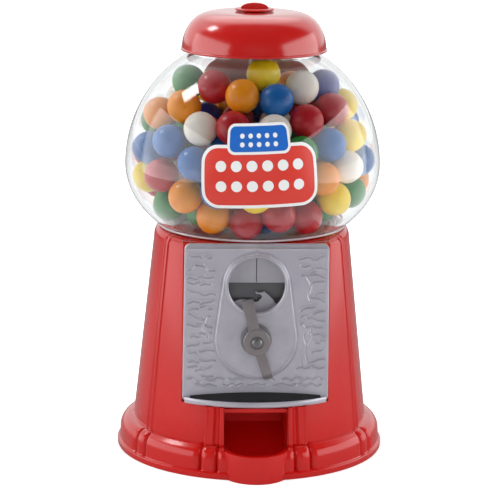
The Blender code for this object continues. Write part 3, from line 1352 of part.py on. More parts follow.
def build_globe(clear):
    """Clear globe: foot ring, full round body and short neck, open at both ends."""
    foot = globe_foot()
    outer_start = BASE_HEIGHT + GAP
    outer = globe_curve(0.0, outer_start, NECK_RADIUS, 5, 6)
    inner_foot = GLOBE_FOOT_RADIUS - GLOBE_FOOT_WALL
    inner_start = foot + GLOBE_FOOT_HEIGHT
    inner = globe_curve(GLOBE_WALL, inner_start, NECK_RADIUS - GLOBE_WALL, 5, 6)
    profile = [(GLOBE_FOOT_RADIUS, foot), (GLOBE_FOOT_RADIUS, outer_start)] + outer
    profile += [(NECK_RADIUS, NECK_TOP), (NECK_RADIUS - GLOBE_WALL, NECK_TOP)]
    profile += inner[::-1] + [(inner_foot, inner_start), (inner_foot, foot)]
    return add("globe", turned(profile), clear)


def ball_inset():
    """Way from the globe's outside to the centre of a gumball that lies against its inside."""
    return GLOBE_WALL + HEAP_GAP + BALL_RADIUS


def ball_depth(spots):
    """Share of the way out to the skin of resting centres, for each place."""
    inset = ball_inset()
    rise = spots[:, 2] - GLOBE_EQUATOR
    half = np.where(rise > 0, GLOBE_UPPER, GLOBE_LOWER) - inset
    flat = np.hypot(spots[:, 0], spots[:, 1]) / (GLOBE_RADIUS - inset)
    return np.hypot(flat, rise / half)


def draw_in(spots, share):
    """Move each place towards the globe's centre by its share."""
    spots[:, 0] *= share
    spots[:, 1] *= share
    spots[:, 2] = GLOBE_EQUATOR + (spots[:, 2] - GLOBE_EQUATOR) * share


def ball_laps(spots):
    """Direction from each ball to each other, and how deep the two lap."""
    way = spots[:, None, :] - spots[None, :, :]
    far = np.sqrt((way ** 2).sum(axis=2)) + np.eye(len(spots))
    lap = np.clip(2 * BALL_RADIUS - far, 0, None)
    np.fill_diagonal(lap, 0)
    return way / far[:, :, None], lap


def placed_balls():
    """Gumballs seen against the glass, eased apart along it until none laps another."""
    inset = ball_inset()
    start = []
    for turn, share in BALL_SHARES:
        half = (GLOBE_UPPER if share > 0 else GLOBE_LOWER) - inset
        flat = (GLOBE_RADIUS - inset) * math.sqrt(1 - share * share)
        angle = math.radians(turn)
        start.append((flat * math.sin(angle), -flat * math.cos(angle), GLOBE_EQUATOR + half * share))
    start = np.array(start)
    spots = start.copy()
    for _ in range(SETTLE_STEPS):
        way, lap = ball_laps(spots)
        free = lap.sum(axis=1) < HEAP_FREE
        spots += (way * lap[:, :, None]).sum(axis=1) * PUSH_SHARE / 2
        spots += (start - spots) * RETURN_SHARE * free[:, None]
        draw_in(spots, 1 / ball_depth(spots))
    return spots


def heap_low():
    """Height of the heap's underside, clear of the deck's flange and the ball guard."""
    return globe_foot() + DECK_FLANGE_THICK + GAP


def keep_inside(spots):
    """Bring loose centres back inside the glass, off the rod, above the deck and below the crest."""
    draw_in(spots, 1 / np.maximum(ball_depth(spots), 1))
    flat = np.hypot(spots[:, 0], spots[:, 1])
    least = BALL_RADIUS + ROD_RADIUS + HEAP_GAP
    spots[:, :2] *= np.maximum(least / flat, 1)[:, None]
    slope = HEAP_SLOPE_SHARE * np.maximum(flat - HEAP_FLAT, 0)
    spots[:, 2] = np.maximum(spots[:, 2], heap_low() + BALL_RADIUS + slope)
    spots[:, 2] = np.minimum(spots[:, 2], GLOBE_EQUATOR + HEAP_CREST)


def settled_balls():
    """Centres of all gumballs: the placed ones, and loose ones that fall and push each other apart."""
    placed = placed_balls()
    held = len(placed)
    chance = np.random.default_rng(LOOSE_SEED)
    turn = chance.uniform(0, 2 * math.pi, LOOSE_BALLS)
    flat = GLOBE_RADIUS * LOOSE_REACH_SHARE * np.sqrt(chance.uniform(LOOSE_CORE_SHARE, 1, LOOSE_BALLS))
    height = GLOBE_EQUATOR + chance.uniform(-LOOSE_DEPTH, LOOSE_RISE, LOOSE_BALLS)
    loose = np.stack((flat * np.cos(turn), flat * np.sin(turn), height), axis=1)
    spots = np.concatenate((placed, loose))
    share = np.full((len(spots), len(spots)), 0.5)
    share[:, :held] = 1
    share[:held] = 0
    for step in range(SETTLE_STEPS):
        if step < SETTLE_STEPS * SETTLE_FALL_SHARE:
            spots[held:, 2] -= LOOSE_FALL
        for _ in range(SETTLE_PUSHES):
            way, lap = ball_laps(spots)
            spots += (way * (lap * share)[:, :, None]).sum(axis=1) * PUSH_SHARE
            keep_inside(spots[held:])
    while True:
        way, lap = ball_laps(spots)
        worst = (lap * (lap > HEAP_TOUCH)).sum(axis=1)
        worst[:held] = 0
        if worst.max() == 0:
            return spots
        spots = np.delete(spots, int(worst.argmax()), axis=0)


def glass_limit(curve, height):
    """Radius that the heap may reach at a height, inside the globe's flat-sided inner skin."""
    for (radius, low), (following, high) in zip(curve, curve[1:]):
        if low <= height <= high:
            share = (height - low) / (high - low)
            return (radius + (following - radius) * share) * math.cos(math.pi / ROUND_STEPS) - HEAP_GAP
    return GLOBE_FOOT_RADIUS - GLOBE_FOOT_WALL - HEAP_GAP


def heap_reach(direction, balls):
    """Distance from the heap's centre to its surface: the farthest ball, or the crease between."""
    along = balls @ direction
    miss = np.sqrt(np.maximum((balls ** 2).sum(axis=1) - along ** 2, 0))
    dome = along + np.sqrt(np.maximum(BALL_RADIUS ** 2 - miss ** 2, 0))
    crease = along - HEAP_CREASE_SHARE * (miss - BALL_RADIUS)
    reach = np.where(miss < BALL_RADIUS, dome, crease)
    return max(BALL_RADIUS, float(reach[along > 0].max()))


def build_gumballs(mixed):
    """Heap of gumballs as one bumpy solid round the rod."""
    centre = np.array((0, 0, HEAP_CENTRE))
    balls = settled_balls() - centre
    curve = globe_curve(GLOBE_WALL, globe_foot() + GLOBE_FOOT_HEIGHT, NECK_RADIUS - GLOBE_WALL, 5, 6)
    low = heap_low()
    rings = []
    for row in range(HEAP_ROWS + 1):
        lift = -math.pi / 2 + math.pi * row / HEAP_ROWS
        ring = []
        for column in range(HEAP_COLUMNS if 0 < row < HEAP_ROWS else 1):
            turn = 2 * math.pi * column / HEAP_COLUMNS
            direction = np.array((math.cos(lift) * math.cos(turn), math.cos(lift) * math.sin(turn), math.sin(lift)))
            reach = heap_reach(direction, balls)
            if HEAP_CENTRE + direction[2] * reach < low:
                reach = (low - HEAP_CENTRE) / direction[2]
            x, y, z = centre + direction * reach
            flat = math.hypot(x, y)
            limit = glass_limit(curve, z)
            inward = min(1, limit / flat) if flat > 0 else 1
            ring.append((x * inward, y * inward, z))
        rings.append(ring)
    heap = add("gumballs", loft(rings), mixed, sharp=math.radians(60))
    cut(heap, cylinder(0, 0, ROD_RADIUS + BORE_GAP * 2, low - OVERRUN, NECK_TOP, TINY_STEPS))
    return heap


def lid_skin(wall):
    """Outer or inner curve of the lid from the side wall to the crown."""
    start = LID_RIM_LOW + LID_RIM_BEAD * 2
    rise = LID_TOP - start
    return [
        (LID_WALL_RADIUS * radius - wall * (1 - height * height), start + rise * height - wall * height)
        for radius, height in LID_CURVE_SHARES
    ]


def build_lid(lid_axis, red):
    """Domed lid with a rim bead, a skirt over the neck, and a hole for the knob's boss."""
    hole = KNOB_BOSS + GAP
    ledge = NECK_TOP + GAP
    rim_mid = LID_RIM_LOW + LID_RIM_BEAD
    outer = lid_skin(0.0)
    inner = [(min(radius, LID_LEDGE_RADIUS), height) for radius, height in lid_skin(LID_WALL) if height > ledge]
    profile = [
        (LID_SKIRT_INNER, LID_RIM_LOW), (LID_RIM_RADIUS - LID_RIM_BEAD / 3, LID_RIM_LOW),
        (LID_RIM_RADIUS, LID_RIM_LOW + LID_RIM_BEAD / 3), (LID_RIM_RADIUS, rim_mid),
        (LID_WALL_RADIUS, rim_mid + LID_RIM_BEAD / 2),
    ]
    profile += outer + [(hole, LID_TOP), (hole, LID_TOP - LID_WALL)]
    profile += inner[::-1] + [(LID_LEDGE_RADIUS, ledge), (LID_SKIRT_INNER, ledge)]
    return add("lid", turned(profile), red, origin=(0, 0, ledge), parent=lid_axis)


def build_lid_knob(lid_axis, red):
    """Knob with a round flange, a half-round grip fin and a blind threaded boss."""
    seat = LID_TOP + GAP
    flange_top = seat + KNOB_FLANGE_THICK
    boss_end = seat - KNOB_BOSS_LENGTH
    bore = ROD_RADIUS + BORE_GAP
    knob = add("lid_knob", turned((
        (bore, boss_end), (KNOB_BOSS, boss_end), (KNOB_BOSS, seat), (KNOB_FLANGE, seat),
        (KNOB_FLANGE, flange_top - KNOB_EDGE), (KNOB_FLANGE - KNOB_EDGE, flange_top),
        (0, flange_top), (0, ROD_TOP + GAP), (bore, ROD_TOP + GAP),
    ), 32), red, origin=(0, 0, seat), parent=lid_axis)
    rise = KNOB_TOP - flange_top
    fin = [
        (KNOB_FIN_HALF * math.cos(angle), flange_top + rise * math.sin(angle))
        for angle in [math.pi * i / 14 for i in range(15)]
    ]
    fin = [(KNOB_FIN_HALF, flange_top - KNOB_EDGE)] + fin + [(-KNOB_FIN_HALF, flange_top - KNOB_EDGE)]
    shape = front_prism(fin, -KNOB_FIN_THICK / 2, KNOB_FIN_THICK / 2)
    rim = [edge for edge in shape.edges if abs(edge.verts[0].co.y - edge.verts[1].co.y) < MERGE
           and min(edge.verts[0].co.z, edge.verts[1].co.z) > flange_top - MERGE]
    bmesh.ops.bevel(shape, geom=rim, offset=KNOB_EDGE, affect="EDGES", segments=1, profile=0.5, material=-1)
    join(knob, shape)
    return knob


def axis_empty(name, place):
    """Empty that stands on a joint's axis."""
    empty = bpy.data.objects.new(name, None)
    empty.location = place
    bpy.context.scene.collection.objects.link(empty)
    return empty


def main():
    clear_scene()
    red = finish("glossy_red_plastic", (0.58, 0.012, 0.010), 0.22)
    silver = finish("satin_die_cast_zinc", (0.38, 0.37, 0.40), 0.38, 0.85)
    grey = finish("cast_handle_zinc", (0.26, 0.27, 0.26), 0.35, 0.85)
    dark = finish("pressed_steel", (0.12, 0.12, 0.13), 0.45, 0.8)
    steel = finish("plated_steel", (0.55, 0.55, 0.56), 0.28, 1.0)
    brass = finish("sintered_brass", (0.55, 0.40, 0.14), 0.35, 0.9)
    nylon = finish("white_nylon", (0.75, 0.74, 0.70), 0.45)
    black = finish("black_stopper_plastic", (0.02, 0.02, 0.02), 0.5)
    clear = finish("clear_globe_plastic", (0.95, 0.97, 0.97), 0.05, 0.0, 0.9)
    mixed = finish("candy_shell", (0.65, 0.20, 0.10), 0.3)

    handle_axis = axis_empty("handle_axis", (0, 0, HANDLE_HEIGHT))
    lid_axis = axis_empty("lid_axis", (0, 0, LID_RIM_LOW))

    build_base_shell(red)
    build_base_floor(red)
    build_floor_screws(steel)
    build_coin_plug(black)
    build_center_rod(steel)
    build_hopper_deck(nylon)
    build_dispensing_wheel(nylon)
    build_ball_guard(nylon)
    build_ball_chute(red)
    build_front_plate(silver)
    build_plate_screws(steel)
    build_coin_guide(silver)
    build_mech_housing(dark)
    build_housing_screws(steel)
    build_gears(handle_axis, brass, nylon)
    build_idler_pin(steel)
    build_shaft_group(handle_axis, silver, steel)
    build_handle(handle_axis, grey, silver, steel)
    build_coin_dog(steel)
    build_globe(clear)
    build_gumballs(mixed)
    build_lid(lid_axis, red)
    build_lid_knob(lid_axis, red)


if __name__ == "__main__":
    main()
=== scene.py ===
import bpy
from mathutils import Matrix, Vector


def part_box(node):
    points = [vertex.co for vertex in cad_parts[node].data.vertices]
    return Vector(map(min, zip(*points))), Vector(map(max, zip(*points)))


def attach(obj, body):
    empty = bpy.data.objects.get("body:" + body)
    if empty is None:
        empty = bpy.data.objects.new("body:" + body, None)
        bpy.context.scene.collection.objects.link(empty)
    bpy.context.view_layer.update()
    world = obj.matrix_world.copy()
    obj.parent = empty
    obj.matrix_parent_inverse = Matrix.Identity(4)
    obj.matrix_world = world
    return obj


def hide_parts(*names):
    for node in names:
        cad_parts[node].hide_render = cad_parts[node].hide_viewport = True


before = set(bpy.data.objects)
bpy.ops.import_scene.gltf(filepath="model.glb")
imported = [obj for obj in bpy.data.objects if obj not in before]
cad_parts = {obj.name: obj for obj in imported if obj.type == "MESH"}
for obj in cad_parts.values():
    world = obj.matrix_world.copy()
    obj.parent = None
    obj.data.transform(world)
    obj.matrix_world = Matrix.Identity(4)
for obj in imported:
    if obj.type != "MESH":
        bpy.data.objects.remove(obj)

"""Looks of a counter-top gum vending machine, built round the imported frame.

The machine stands at the origin with its tie rod on +Z and its front towards -Y. Sizes are in
metres. A depth is the distance that something lies in front of the tie rod, so that a depth of
d is the plane y = -d.
"""

import logging
import math
from dataclasses import dataclass
from enum import Enum
from typing import Iterable, Sequence

import bmesh
import bpy
import numpy as np
from mathutils import Matrix, Vector

LOG = logging.getLogger("gum_machine")
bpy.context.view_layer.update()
Colour = tuple[float, float, float, float]
Point2 = tuple[float, float]

# Nodes that are used often, and the input of each that a pattern drives
RAMP = "ShaderNodeValToRGB"
RANGE = "ShaderNodeMapRange"
BUMP = "ShaderNodeBump"
MATH = "ShaderNodeMath"
VECTOR_MATH = "ShaderNodeVectorMath"
DRIVEN = {RAMP: "Fac", RANGE: "Value", BUMP: "Height"}


# Shared tools
def linear(hex_value: str) -> Colour:
    """Turn an sRGB hex value into linear light.

    Args:
        hex_value: Six hex digits, with or without a leading hash.

    Returns:
        Red, green, blue and an alpha of one.
    """
    digits = hex_value.lstrip("#")
    parts = [int(digits[i:i + 2], 16) / 255 for i in (0, 2, 4)]
    lights = [p / 12.92 if p <= 0.04045 else ((p + 0.055) / 1.055) ** 2.4 for p in parts]
    return (lights[0], lights[1], lights[2], 1.0)


def scaled(shade: Colour, factors: Sequence[float]) -> Colour:
    """Shade with each channel times its factor, up to full light."""
    red, green, blue = (min(1.0, part * factor) for part, factor in zip(shade, factors))
    return (red, green, blue, 1.0)


def add_node(tree: bpy.types.NodeTree, kind: str, settings: dict | None = None,
             links: dict | None = None, feeds: bpy.types.NodeSocket | None = None) -> bpy.types.Node:
    """Add a shader node, set it up and link it.

    Args:
        tree: The material's or world's node tree.
        kind: The node's class name.
        settings: Values for sockets, by name or number, for attributes, by a leading dot, and for a
            colour ramp's places and colours, as .stops.
        links: What to plug into this node's inputs, by name or number: an output socket, or a node,
            which stands for its first output in use.
        feeds: The input that this node's own first output in use goes to.

    Returns:
        The new node.
    """
    node = tree.nodes.new(kind)
    for key, value in (settings or {}).items():
        if key == ".stops":
            elements = node.color_ramp.elements
            while len(elements) < len(value):
                elements.new(0.5)
            for element, (place, colour) in zip(elements, value):
                element.position = place
                element.color = colour
        elif isinstance(key, str) and key.startswith("."):
            setattr(node, key[1:], value)
        else:
            node.inputs[key].default_value = value
    for key, source in (links or {}).items():
        tree.links.new(in_use(source), node.inputs[key])
    if feeds:
        tree.links.new(in_use(node), feeds)
    return node


def in_use(source: bpy.types.Node | bpy.types.NodeSocket) -> bpy.types.NodeSocket:
    """An output socket itself, or a node's first output in use."""
    is_node = isinstance(source, bpy.types.Node)
    return next(socket for socket in source.outputs if socket.enabled) if is_node else source


def bell(gap: np.ndarray, width: float) -> np.ndarray:
    """Bell curve: one where the gap is nothing, and a third of that at the width."""
    return np.exp(-(gap / width) ** 2)


def rising(way: np.ndarray, length: float) -> np.ndarray:
    """Straight rise from nothing to one along a length."""
    return np.clip(way / length, 0, 1)


@dataclass
class Paint:
    """Material under construction: its node tree, its Principled shader and the Object coordinates."""

    material: bpy.types.Material
    tree: bpy.types.NodeTree
    shader: bpy.types.Node
    place: bpy.types.Node | bpy.types.NodeSocket

    @classmethod
    def start(cls, name: str, settings: dict) -> "Paint":
        """Start a material.

        Args:
            name: The finish's name.
            settings: Uniform values of the Principled shader, by socket.

        Returns:
            The material, ready for its patterns.
        """
        material = bpy.data.materials.new(name)
        material.use_nodes = True
        tree = material.node_tree
        shader = tree.nodes["Principled BSDF"]
        for key, value in settings.items():
            shader.inputs[key].default_value = value
        return cls(material, tree, shader, add_node(tree, "ShaderNodeTexCoord").outputs["Object"])

    def steer(self, socket: str, noise: Sequence[float], kind: str, settings: dict) -> None:
        """Let a cloudy pattern steer one of the shader's inputs.

        Args:
            socket: The input that is steered.
            noise: Size of the pattern's blots in metres, its detail and its roughness.
            kind: The node that turns the pattern into the input's value.
            settings: What that node is set to.
        """
        size, detail, roughness = noise
        clouds = add_node(self.tree, "ShaderNodeTexNoise", {
            "Scale": 1 / size, "Detail": detail, "Roughness": roughness}, {"Vector": self.place})
        add_node(self.tree, kind, settings, {DRIVEN[kind]: clouds}, self.shader.inputs[socket])


def add_object(name: str, data: bpy.types.ID | None) -> bpy.types.Object:
    """Add an object to the scene.

    Args:
        name: Its name.
        data: Its mesh, light or camera.

    Returns:
        The object.
    """
    thing = bpy.data.objects.new(name, data)
    bpy.context.scene.collection.objects.link(thing)
    return thing


class Shape:
    """Mesh-making moves shared by every sub-assembly."""

    @staticmethod
    def mesh(name: str, shape: bmesh.types.BMesh) -> bpy.types.Mesh:
        """Turn a shape into a mesh.

        Args:
            name: The mesh's name.
            shape: The shape, which is used up.

        Returns:
            The mesh.
        """
        mesh = bpy.data.meshes.new(name)
        shape.to_mesh(mesh)
        shape.free()
        return mesh

    @staticmethod
    def grow(shape: bmesh.types.BMesh, edges: Sequence[bmesh.types.BMEdge]
             ) -> tuple[list[bmesh.types.BMVert], list[bmesh.types.BMEdge]]:
        """Draw open edges out by one ring, which still lies on them.

        Args:
            shape: The shape that grows.
            edges: Its open edges.

        Returns:
            The new ring's corners and its open edges.
        """
        drawn = bmesh.ops.extrude_edge_only(shape, edges=edges)["geom"]
        corners = [v for v in drawn if isinstance(v, bmesh.types.BMVert)]
        return corners, [e for e in drawn if isinstance(e, bmesh.types.BMEdge) and len(e.link_faces) == 1]

    @staticmethod
    def spin(profile: Sequence[Point2], steps: int = 128) -> bmesh.types.BMesh:
        """Spin a profile about the tie rod.

        Args:
            profile: Radius and height of each point; open at the axis or a closed ring.
            steps: Facets in a full turn.

        Returns:
            A closed shape with its faces outwards.
        """
        shape = bmesh.new()
        points = [shape.verts.new((radius, 0, height)) for radius, height in profile]
        pairs = list(zip(points, points[1:]))
        if profile[0][0] > 0 or profile[-1][0] > 0:
            pairs.append((points[-1], points[0]))
        edges = [shape.edges.new(pair) for pair in pairs]
        bmesh.ops.spin(shape, geom=points + edges, cent=(0, 0, 0), axis=(0, 0, 1), dvec=(0, 0, 0),
                       angle=2 * math.pi, steps=steps, use_merge=True, use_duplicate=False)
        bmesh.ops.remove_doubles(shape, verts=shape.verts, dist=0.000005)
        bmesh.ops.recalc_face_normals(shape, faces=shape.faces)
        return shape

    @staticmethod
    def slab(outline: Sequence[Point2], low: float, high: float) -> bmesh.types.BMesh:
        """Draw a flat outline up between two heights.

        Args:
            outline: Corners in the XY plane.
            low: Lower height.
            high: Upper height.

        Returns:
            The closed slab.
        """
        shape = bmesh.new()
        face = shape.faces.new([shape.verts.new((x, y, low)) for x, y in outline])
        drawn = bmesh.ops.extrude_face_region(shape, geom=[face])["geom"]
        moved = [v for v in drawn if isinstance(v, bmesh.types.BMVert)]
        bmesh.ops.translate(shape, verts=moved, vec=(0, 0, high - low))
        bmesh.ops.recalc_face_normals(shape, faces=shape.faces)
        return shape

    @staticmethod
    def to_front(shape: bmesh.types.BMesh, side: float = 0.0, height: float = 0.0) -> bmesh.types.BMesh:
        """Lay a shape drawn about Z along the depth axis, at a place on the front.

        Args:
            shape: The shape, drawn with its depth up Z.
            side: How far to the side it goes.
            height: How high it goes.

        Returns:
            The same shape.
        """
        turn = Matrix.Translation((side, 0, height)) @ Matrix.Rotation(math.pi / 2, 4, "X")
        bmesh.ops.transform(shape, matrix=turn, verts=shape.verts)
        return shape

    @staticmethod
    def box(low: Sequence[float], high: Sequence[float]) -> bmesh.types.BMesh:
        """Box between two corners."""
        outline = ((low[0], low[1]), (high[0], low[1]), (high[0], high[1]), (low[0], high[1]))
        return Shape.slab(outline, low[2], high[2])

    @staticmethod
    def bevel(shape: bmesh.types.BMesh, width: float, segments: int = 2,
              least: float = 30.0) -> bmesh.types.BMesh:
        """Round the edges that turn by more than an angle.

        Args:
            shape: The shape to round.
            width: Width of the rounding.
            segments: Facets across it.
            least: Smallest turn in degrees that is rounded.

        Returns:
            The same shape.
        """
        limit = math.radians(least)
        edges = [e for e in shape.edges if len(e.link_faces) == 2 and e.calc_face_angle(0.0) > limit]
        bmesh.ops.bevel(shape, geom=edges, offset=width, affect="EDGES", segments=segments,
                        profile=0.5, material=-1, clamp_overlap=True)
        return shape

    @staticmethod
    def together(shapes: Iterable[bmesh.types.BMesh]) -> bmesh.types.BMesh:
        """Put several shapes into one mesh.

        Args:
            shapes: The shapes, which are used up.

        Returns:
            The mesh that holds them all.
        """
        whole = bmesh.new()
        for shape in shapes:
            mesh = Shape.mesh("part", shape)
            whole.from_mesh(mesh)
            bpy.data.meshes.remove(mesh)
        return whole

    @staticmethod
    def arc(centre: Point2, radius: float, start: float, end: float, steps: int) -> list[Point2]:
        """Points on an arc, angles in radians from +X."""
        return [(centre[0] + radius * math.cos(start + (end - start) * i / steps),
                 centre[1] + radius * math.sin(start + (end - start) * i / steps)) for i in range(steps + 1)]

    @staticmethod
    def shoulder(radius: float, top: float, width: float, steps: int = 4) -> list[Point2]:
        """Rounded outer edge of a turned profile, from its side to its top."""
        return Shape.arc((radius - width, top - width), width, 0.0, math.pi / 2, steps)

    @staticmethod
    def boolean(target: bmesh.types.BMesh, operation: str,
                tools: Sequence[bmesh.types.BMesh]) -> bmesh.types.BMesh:
        """Cut tools from a shape, or join them on, and keep the result as a plain mesh.

        Args:
            target: The shape that is worked on.
            operation: DIFFERENCE or UNION.
            tools: The shapes that cut or join, in order.

        Returns:
            The resulting shape.
        """
        objects = [add_object("work", Shape.mesh("work", shape)) for shape in (target, *tools)]
        for tool in objects[1:]:
            modifier = objects[0].modifiers.new("work", "BOOLEAN")
            modifier.operation = operation
            modifier.solver = "EXACT"
            modifier.object = tool
        graph = bpy.context.evaluated_depsgraph_get()
        result = bmesh.new()
        result.from_mesh(bpy.data.meshes.new_from_object(objects[0].evaluated_get(graph)))
        for thing in objects:
            bpy.data.objects.remove(thing, do_unlink=True)
        return result

    @staticmethod
    def piece(name: str, shape: bmesh.types.BMesh, finish: "Finish | CandyShell",
              replaces: Sequence[str] = (), slot: str = "red_plastic", body: str = "cabinet",
              sharp: float = 40.0) -> bpy.types.Object:
        """Make a finished piece that rides on a body.

        Args:
            name: The piece's name.
            shape: Its mesh, in place.
            finish: What it is made of.
            replaces: CAD nodes that it stands for.
            slot: Name of the record's material slot; not used.
            body: The CAD body that it moves with.
            sharp: Edges that turn by more degrees than this stay sharp.

        Returns:
            The object.
        """
        mesh = Shape.mesh(name, shape)
        mesh.shade_smooth()
        mesh.set_sharp_from_angle(angle=math.radians(sharp))
        mesh.materials.append(finish.material())
        thing = add_object(name, mesh)
        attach(thing, body)
        if replaces:
            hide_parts(*replaces)
        LOG.info("%s: %d faces on %s", name, len(mesh.polygons), body)
        return thing


# Finishes
@dataclass(frozen=True)
class MouldedPlastic:
    """Injection-moulded plastic: gloss over a faint orange-peel waviness, which bends its reflections."""

    name: str
    colour: str
    roughness: float = 0.16
    coat: float = 0.35
    sheen_level: float = 0.5
    coat_roughness: float = 0.12
    scuff: float = 0.05
    # Grit and waves are drawn coarser than on real mouldings, since finer ones don't show in the render
    cloud_size: float = 0.045
    grit_size: float = 0.0032
    wave_size: float = 0.011
    wave_depth: float = 0.0006
    waviness: float = 0.06

    def material(self) -> bpy.types.Material:
        """Build the finish.

        Returns:
            The material.
        """
        paint = Paint.start(self.name, {
            "IOR": 1.52, "Specular IOR Level": self.sheen_level, "Coat Weight": self.coat,
            "Coat Roughness": self.coat_roughness})
        shade = linear(self.colour)
        dark, bright = scaled(shade, (0.95, 0.95, 0.95)), scaled(shade, (1.04, 1.05, 1.05))
        paint.steer("Base Color", (self.cloud_size, 3.0, 0.5), RAMP, {".stops": ((0.3, dark), (0.7, bright))})
        paint.steer("Roughness", (self.grit_size, 5.0, 0.5), RANGE, {
            "From Min": 0.35, "From Max": 0.75,
            "To Min": self.roughness, "To Max": self.roughness + self.scuff})
        paint.steer("Normal", (self.wave_size, 1.5, 0.5), BUMP, {
            "Strength": self.waviness, "Distance": self.wave_depth})
        return paint.material


@dataclass(frozen=True)
class CastZinc:
    """Tumbled or pressed metal: a satin skin with soft clouds, fine grain and uneven polish."""

    name: str
    colour: str
    roughness: float = 0.34
    metallic: float = 0.9
    grain: float = 0.12
    # The grain is drawn coarser than real casting grain, since a finer one doesn't show in the render
    grain_size: float = 0.0007
    grain_depth: float = 0.0001
    cloud_size: float = 0.012
    streak: Point2 = (1.0, 1.0)
    speckle: float = 0.13

    def material(self) -> bpy.types.Material:
        """Build the finish.

        Returns:
            The material.
        """
        paint = Paint.start(self.name, {"Metallic": self.metallic})
        shade = linear(self.colour)
        dark, bright = scaled(shade, (0.86, 0.86, 0.88)), scaled(shade, (1.1, 1.1, 1.1))
        paint.steer("Base Color", (self.cloud_size, 6.0, 0.6), RAMP, {
            ".stops": ((0.25, dark), (0.55, shade), (0.85, bright))})
        paint.place = add_node(paint.tree, "ShaderNodeMapping", {
            "Scale": (self.streak[0], 1.0, self.streak[1])}, {"Vector": paint.place})
        grit = (self.grain_size, 3.0, 0.5)
        paint.steer("Roughness", grit, RANGE, {
            "From Min": 0.3, "From Max": 0.7, "To Min": self.roughness - 0.4 * self.speckle,
            "To Max": self.roughness + 0.6 * self.speckle})
        paint.steer("Normal", grit, BUMP, {"Strength": self.grain, "Distance": self.grain_depth})
        return paint.material


@dataclass(frozen=True)
class ClearPlastic:
    """Blown polycarbonate: clear and glossy, with slow swells that make its reflections wander."""

    name: str
    colour: str = "#FCFEFF"
    roughness: float = 0.015
    swell_size: float = 0.03
    swell_depth: float = 0.0004
    unevenness: float = 0.03
    passing: Colour = (0.97, 0.98, 0.98, 1.0)

    def material(self) -> bpy.types.Material:
        """Build the finish, which lets light for what is inside it straight through.

        Returns:
            The material.
        """
        paint = Paint.start(self.name, {"Base Color": linear(self.colour), "Roughness": self.roughness,
                                        "IOR": 1.49, "Transmission Weight": 1.0})
        paint.steer("Normal", (self.swell_size, 1.0, 0.5), BUMP, {
            "Strength": self.unevenness, "Distance": self.swell_depth})
        path = add_node(paint.tree, "ShaderNodeLightPath")
        open_air = add_node(paint.tree, "ShaderNodeBsdfTransparent", {"Color": self.passing})
        add_node(paint.tree, "ShaderNodeMixShader", links={
            0: path.outputs["Is Shadow Ray"], 1: paint.shader, 2: open_air},
            feeds=paint.tree.nodes["Material Output"].inputs["Surface"])
        return paint.material


@dataclass(frozen=True)
class CandyShell:
    """Panned sugar shell: a soft wax gloss over small dimples and a slightly mottled dye."""

    name: str
    colour: str
    pale: str
    roughness: Point2 = (0.26, 0.42)
    # Mottle and dimples are drawn coarser than real ones, since finer ones don't show in the render
    mottle_size: float = 0.0045
    dimpling: float = 0.12
    dimple_size: float = 0.0028
    dimple_depth: float = 0.0003

    def material(self) -> bpy.types.Material:
        """Build the finish.

        Returns:
            The material.
        """
        paint = Paint.start(self.name, {"IOR": 1.48, "Coat Weight": 0.15, "Coat Roughness": 0.2})
        mottle = (self.mottle_size, 5.0, 0.6)
        paint.steer("Base Color", mottle, RAMP, {
            ".stops": ((0.35, linear(self.colour)), (0.8, linear(self.pale)))})
        paint.steer("Roughness", mottle, RANGE, {
            "From Min": 0.3, "From Max": 0.7, "To Min": self.roughness[0], "To Max": self.roughness[1]})
        paint.steer("Normal", (self.dimple_size, 2.0, 0.5), BUMP, {
            "Strength": self.dimpling, "Distance": self.dimple_depth})
        return paint.material


class Candy(Enum):
    """Colours of the gumballs: the dye, its paler mottle, and how often it comes."""

    RED = ("#AE0A17", "#BC1825", 0.24)
    YELLOW = ("#FCD400", "#FEE020", 0.16)
    ORANGE = ("#F08C00", "#F79C12", 0.17)
    CREAM = ("#F0E4D6", "#F6EEE4", 0.13)
    BLUE = ("#0A5AA2", "#176CB4", 0.16)
    GREEN = ("#107324", "#228734", 0.10)
    NAVY = ("#1F2B86", "#2D3996", 0.04)


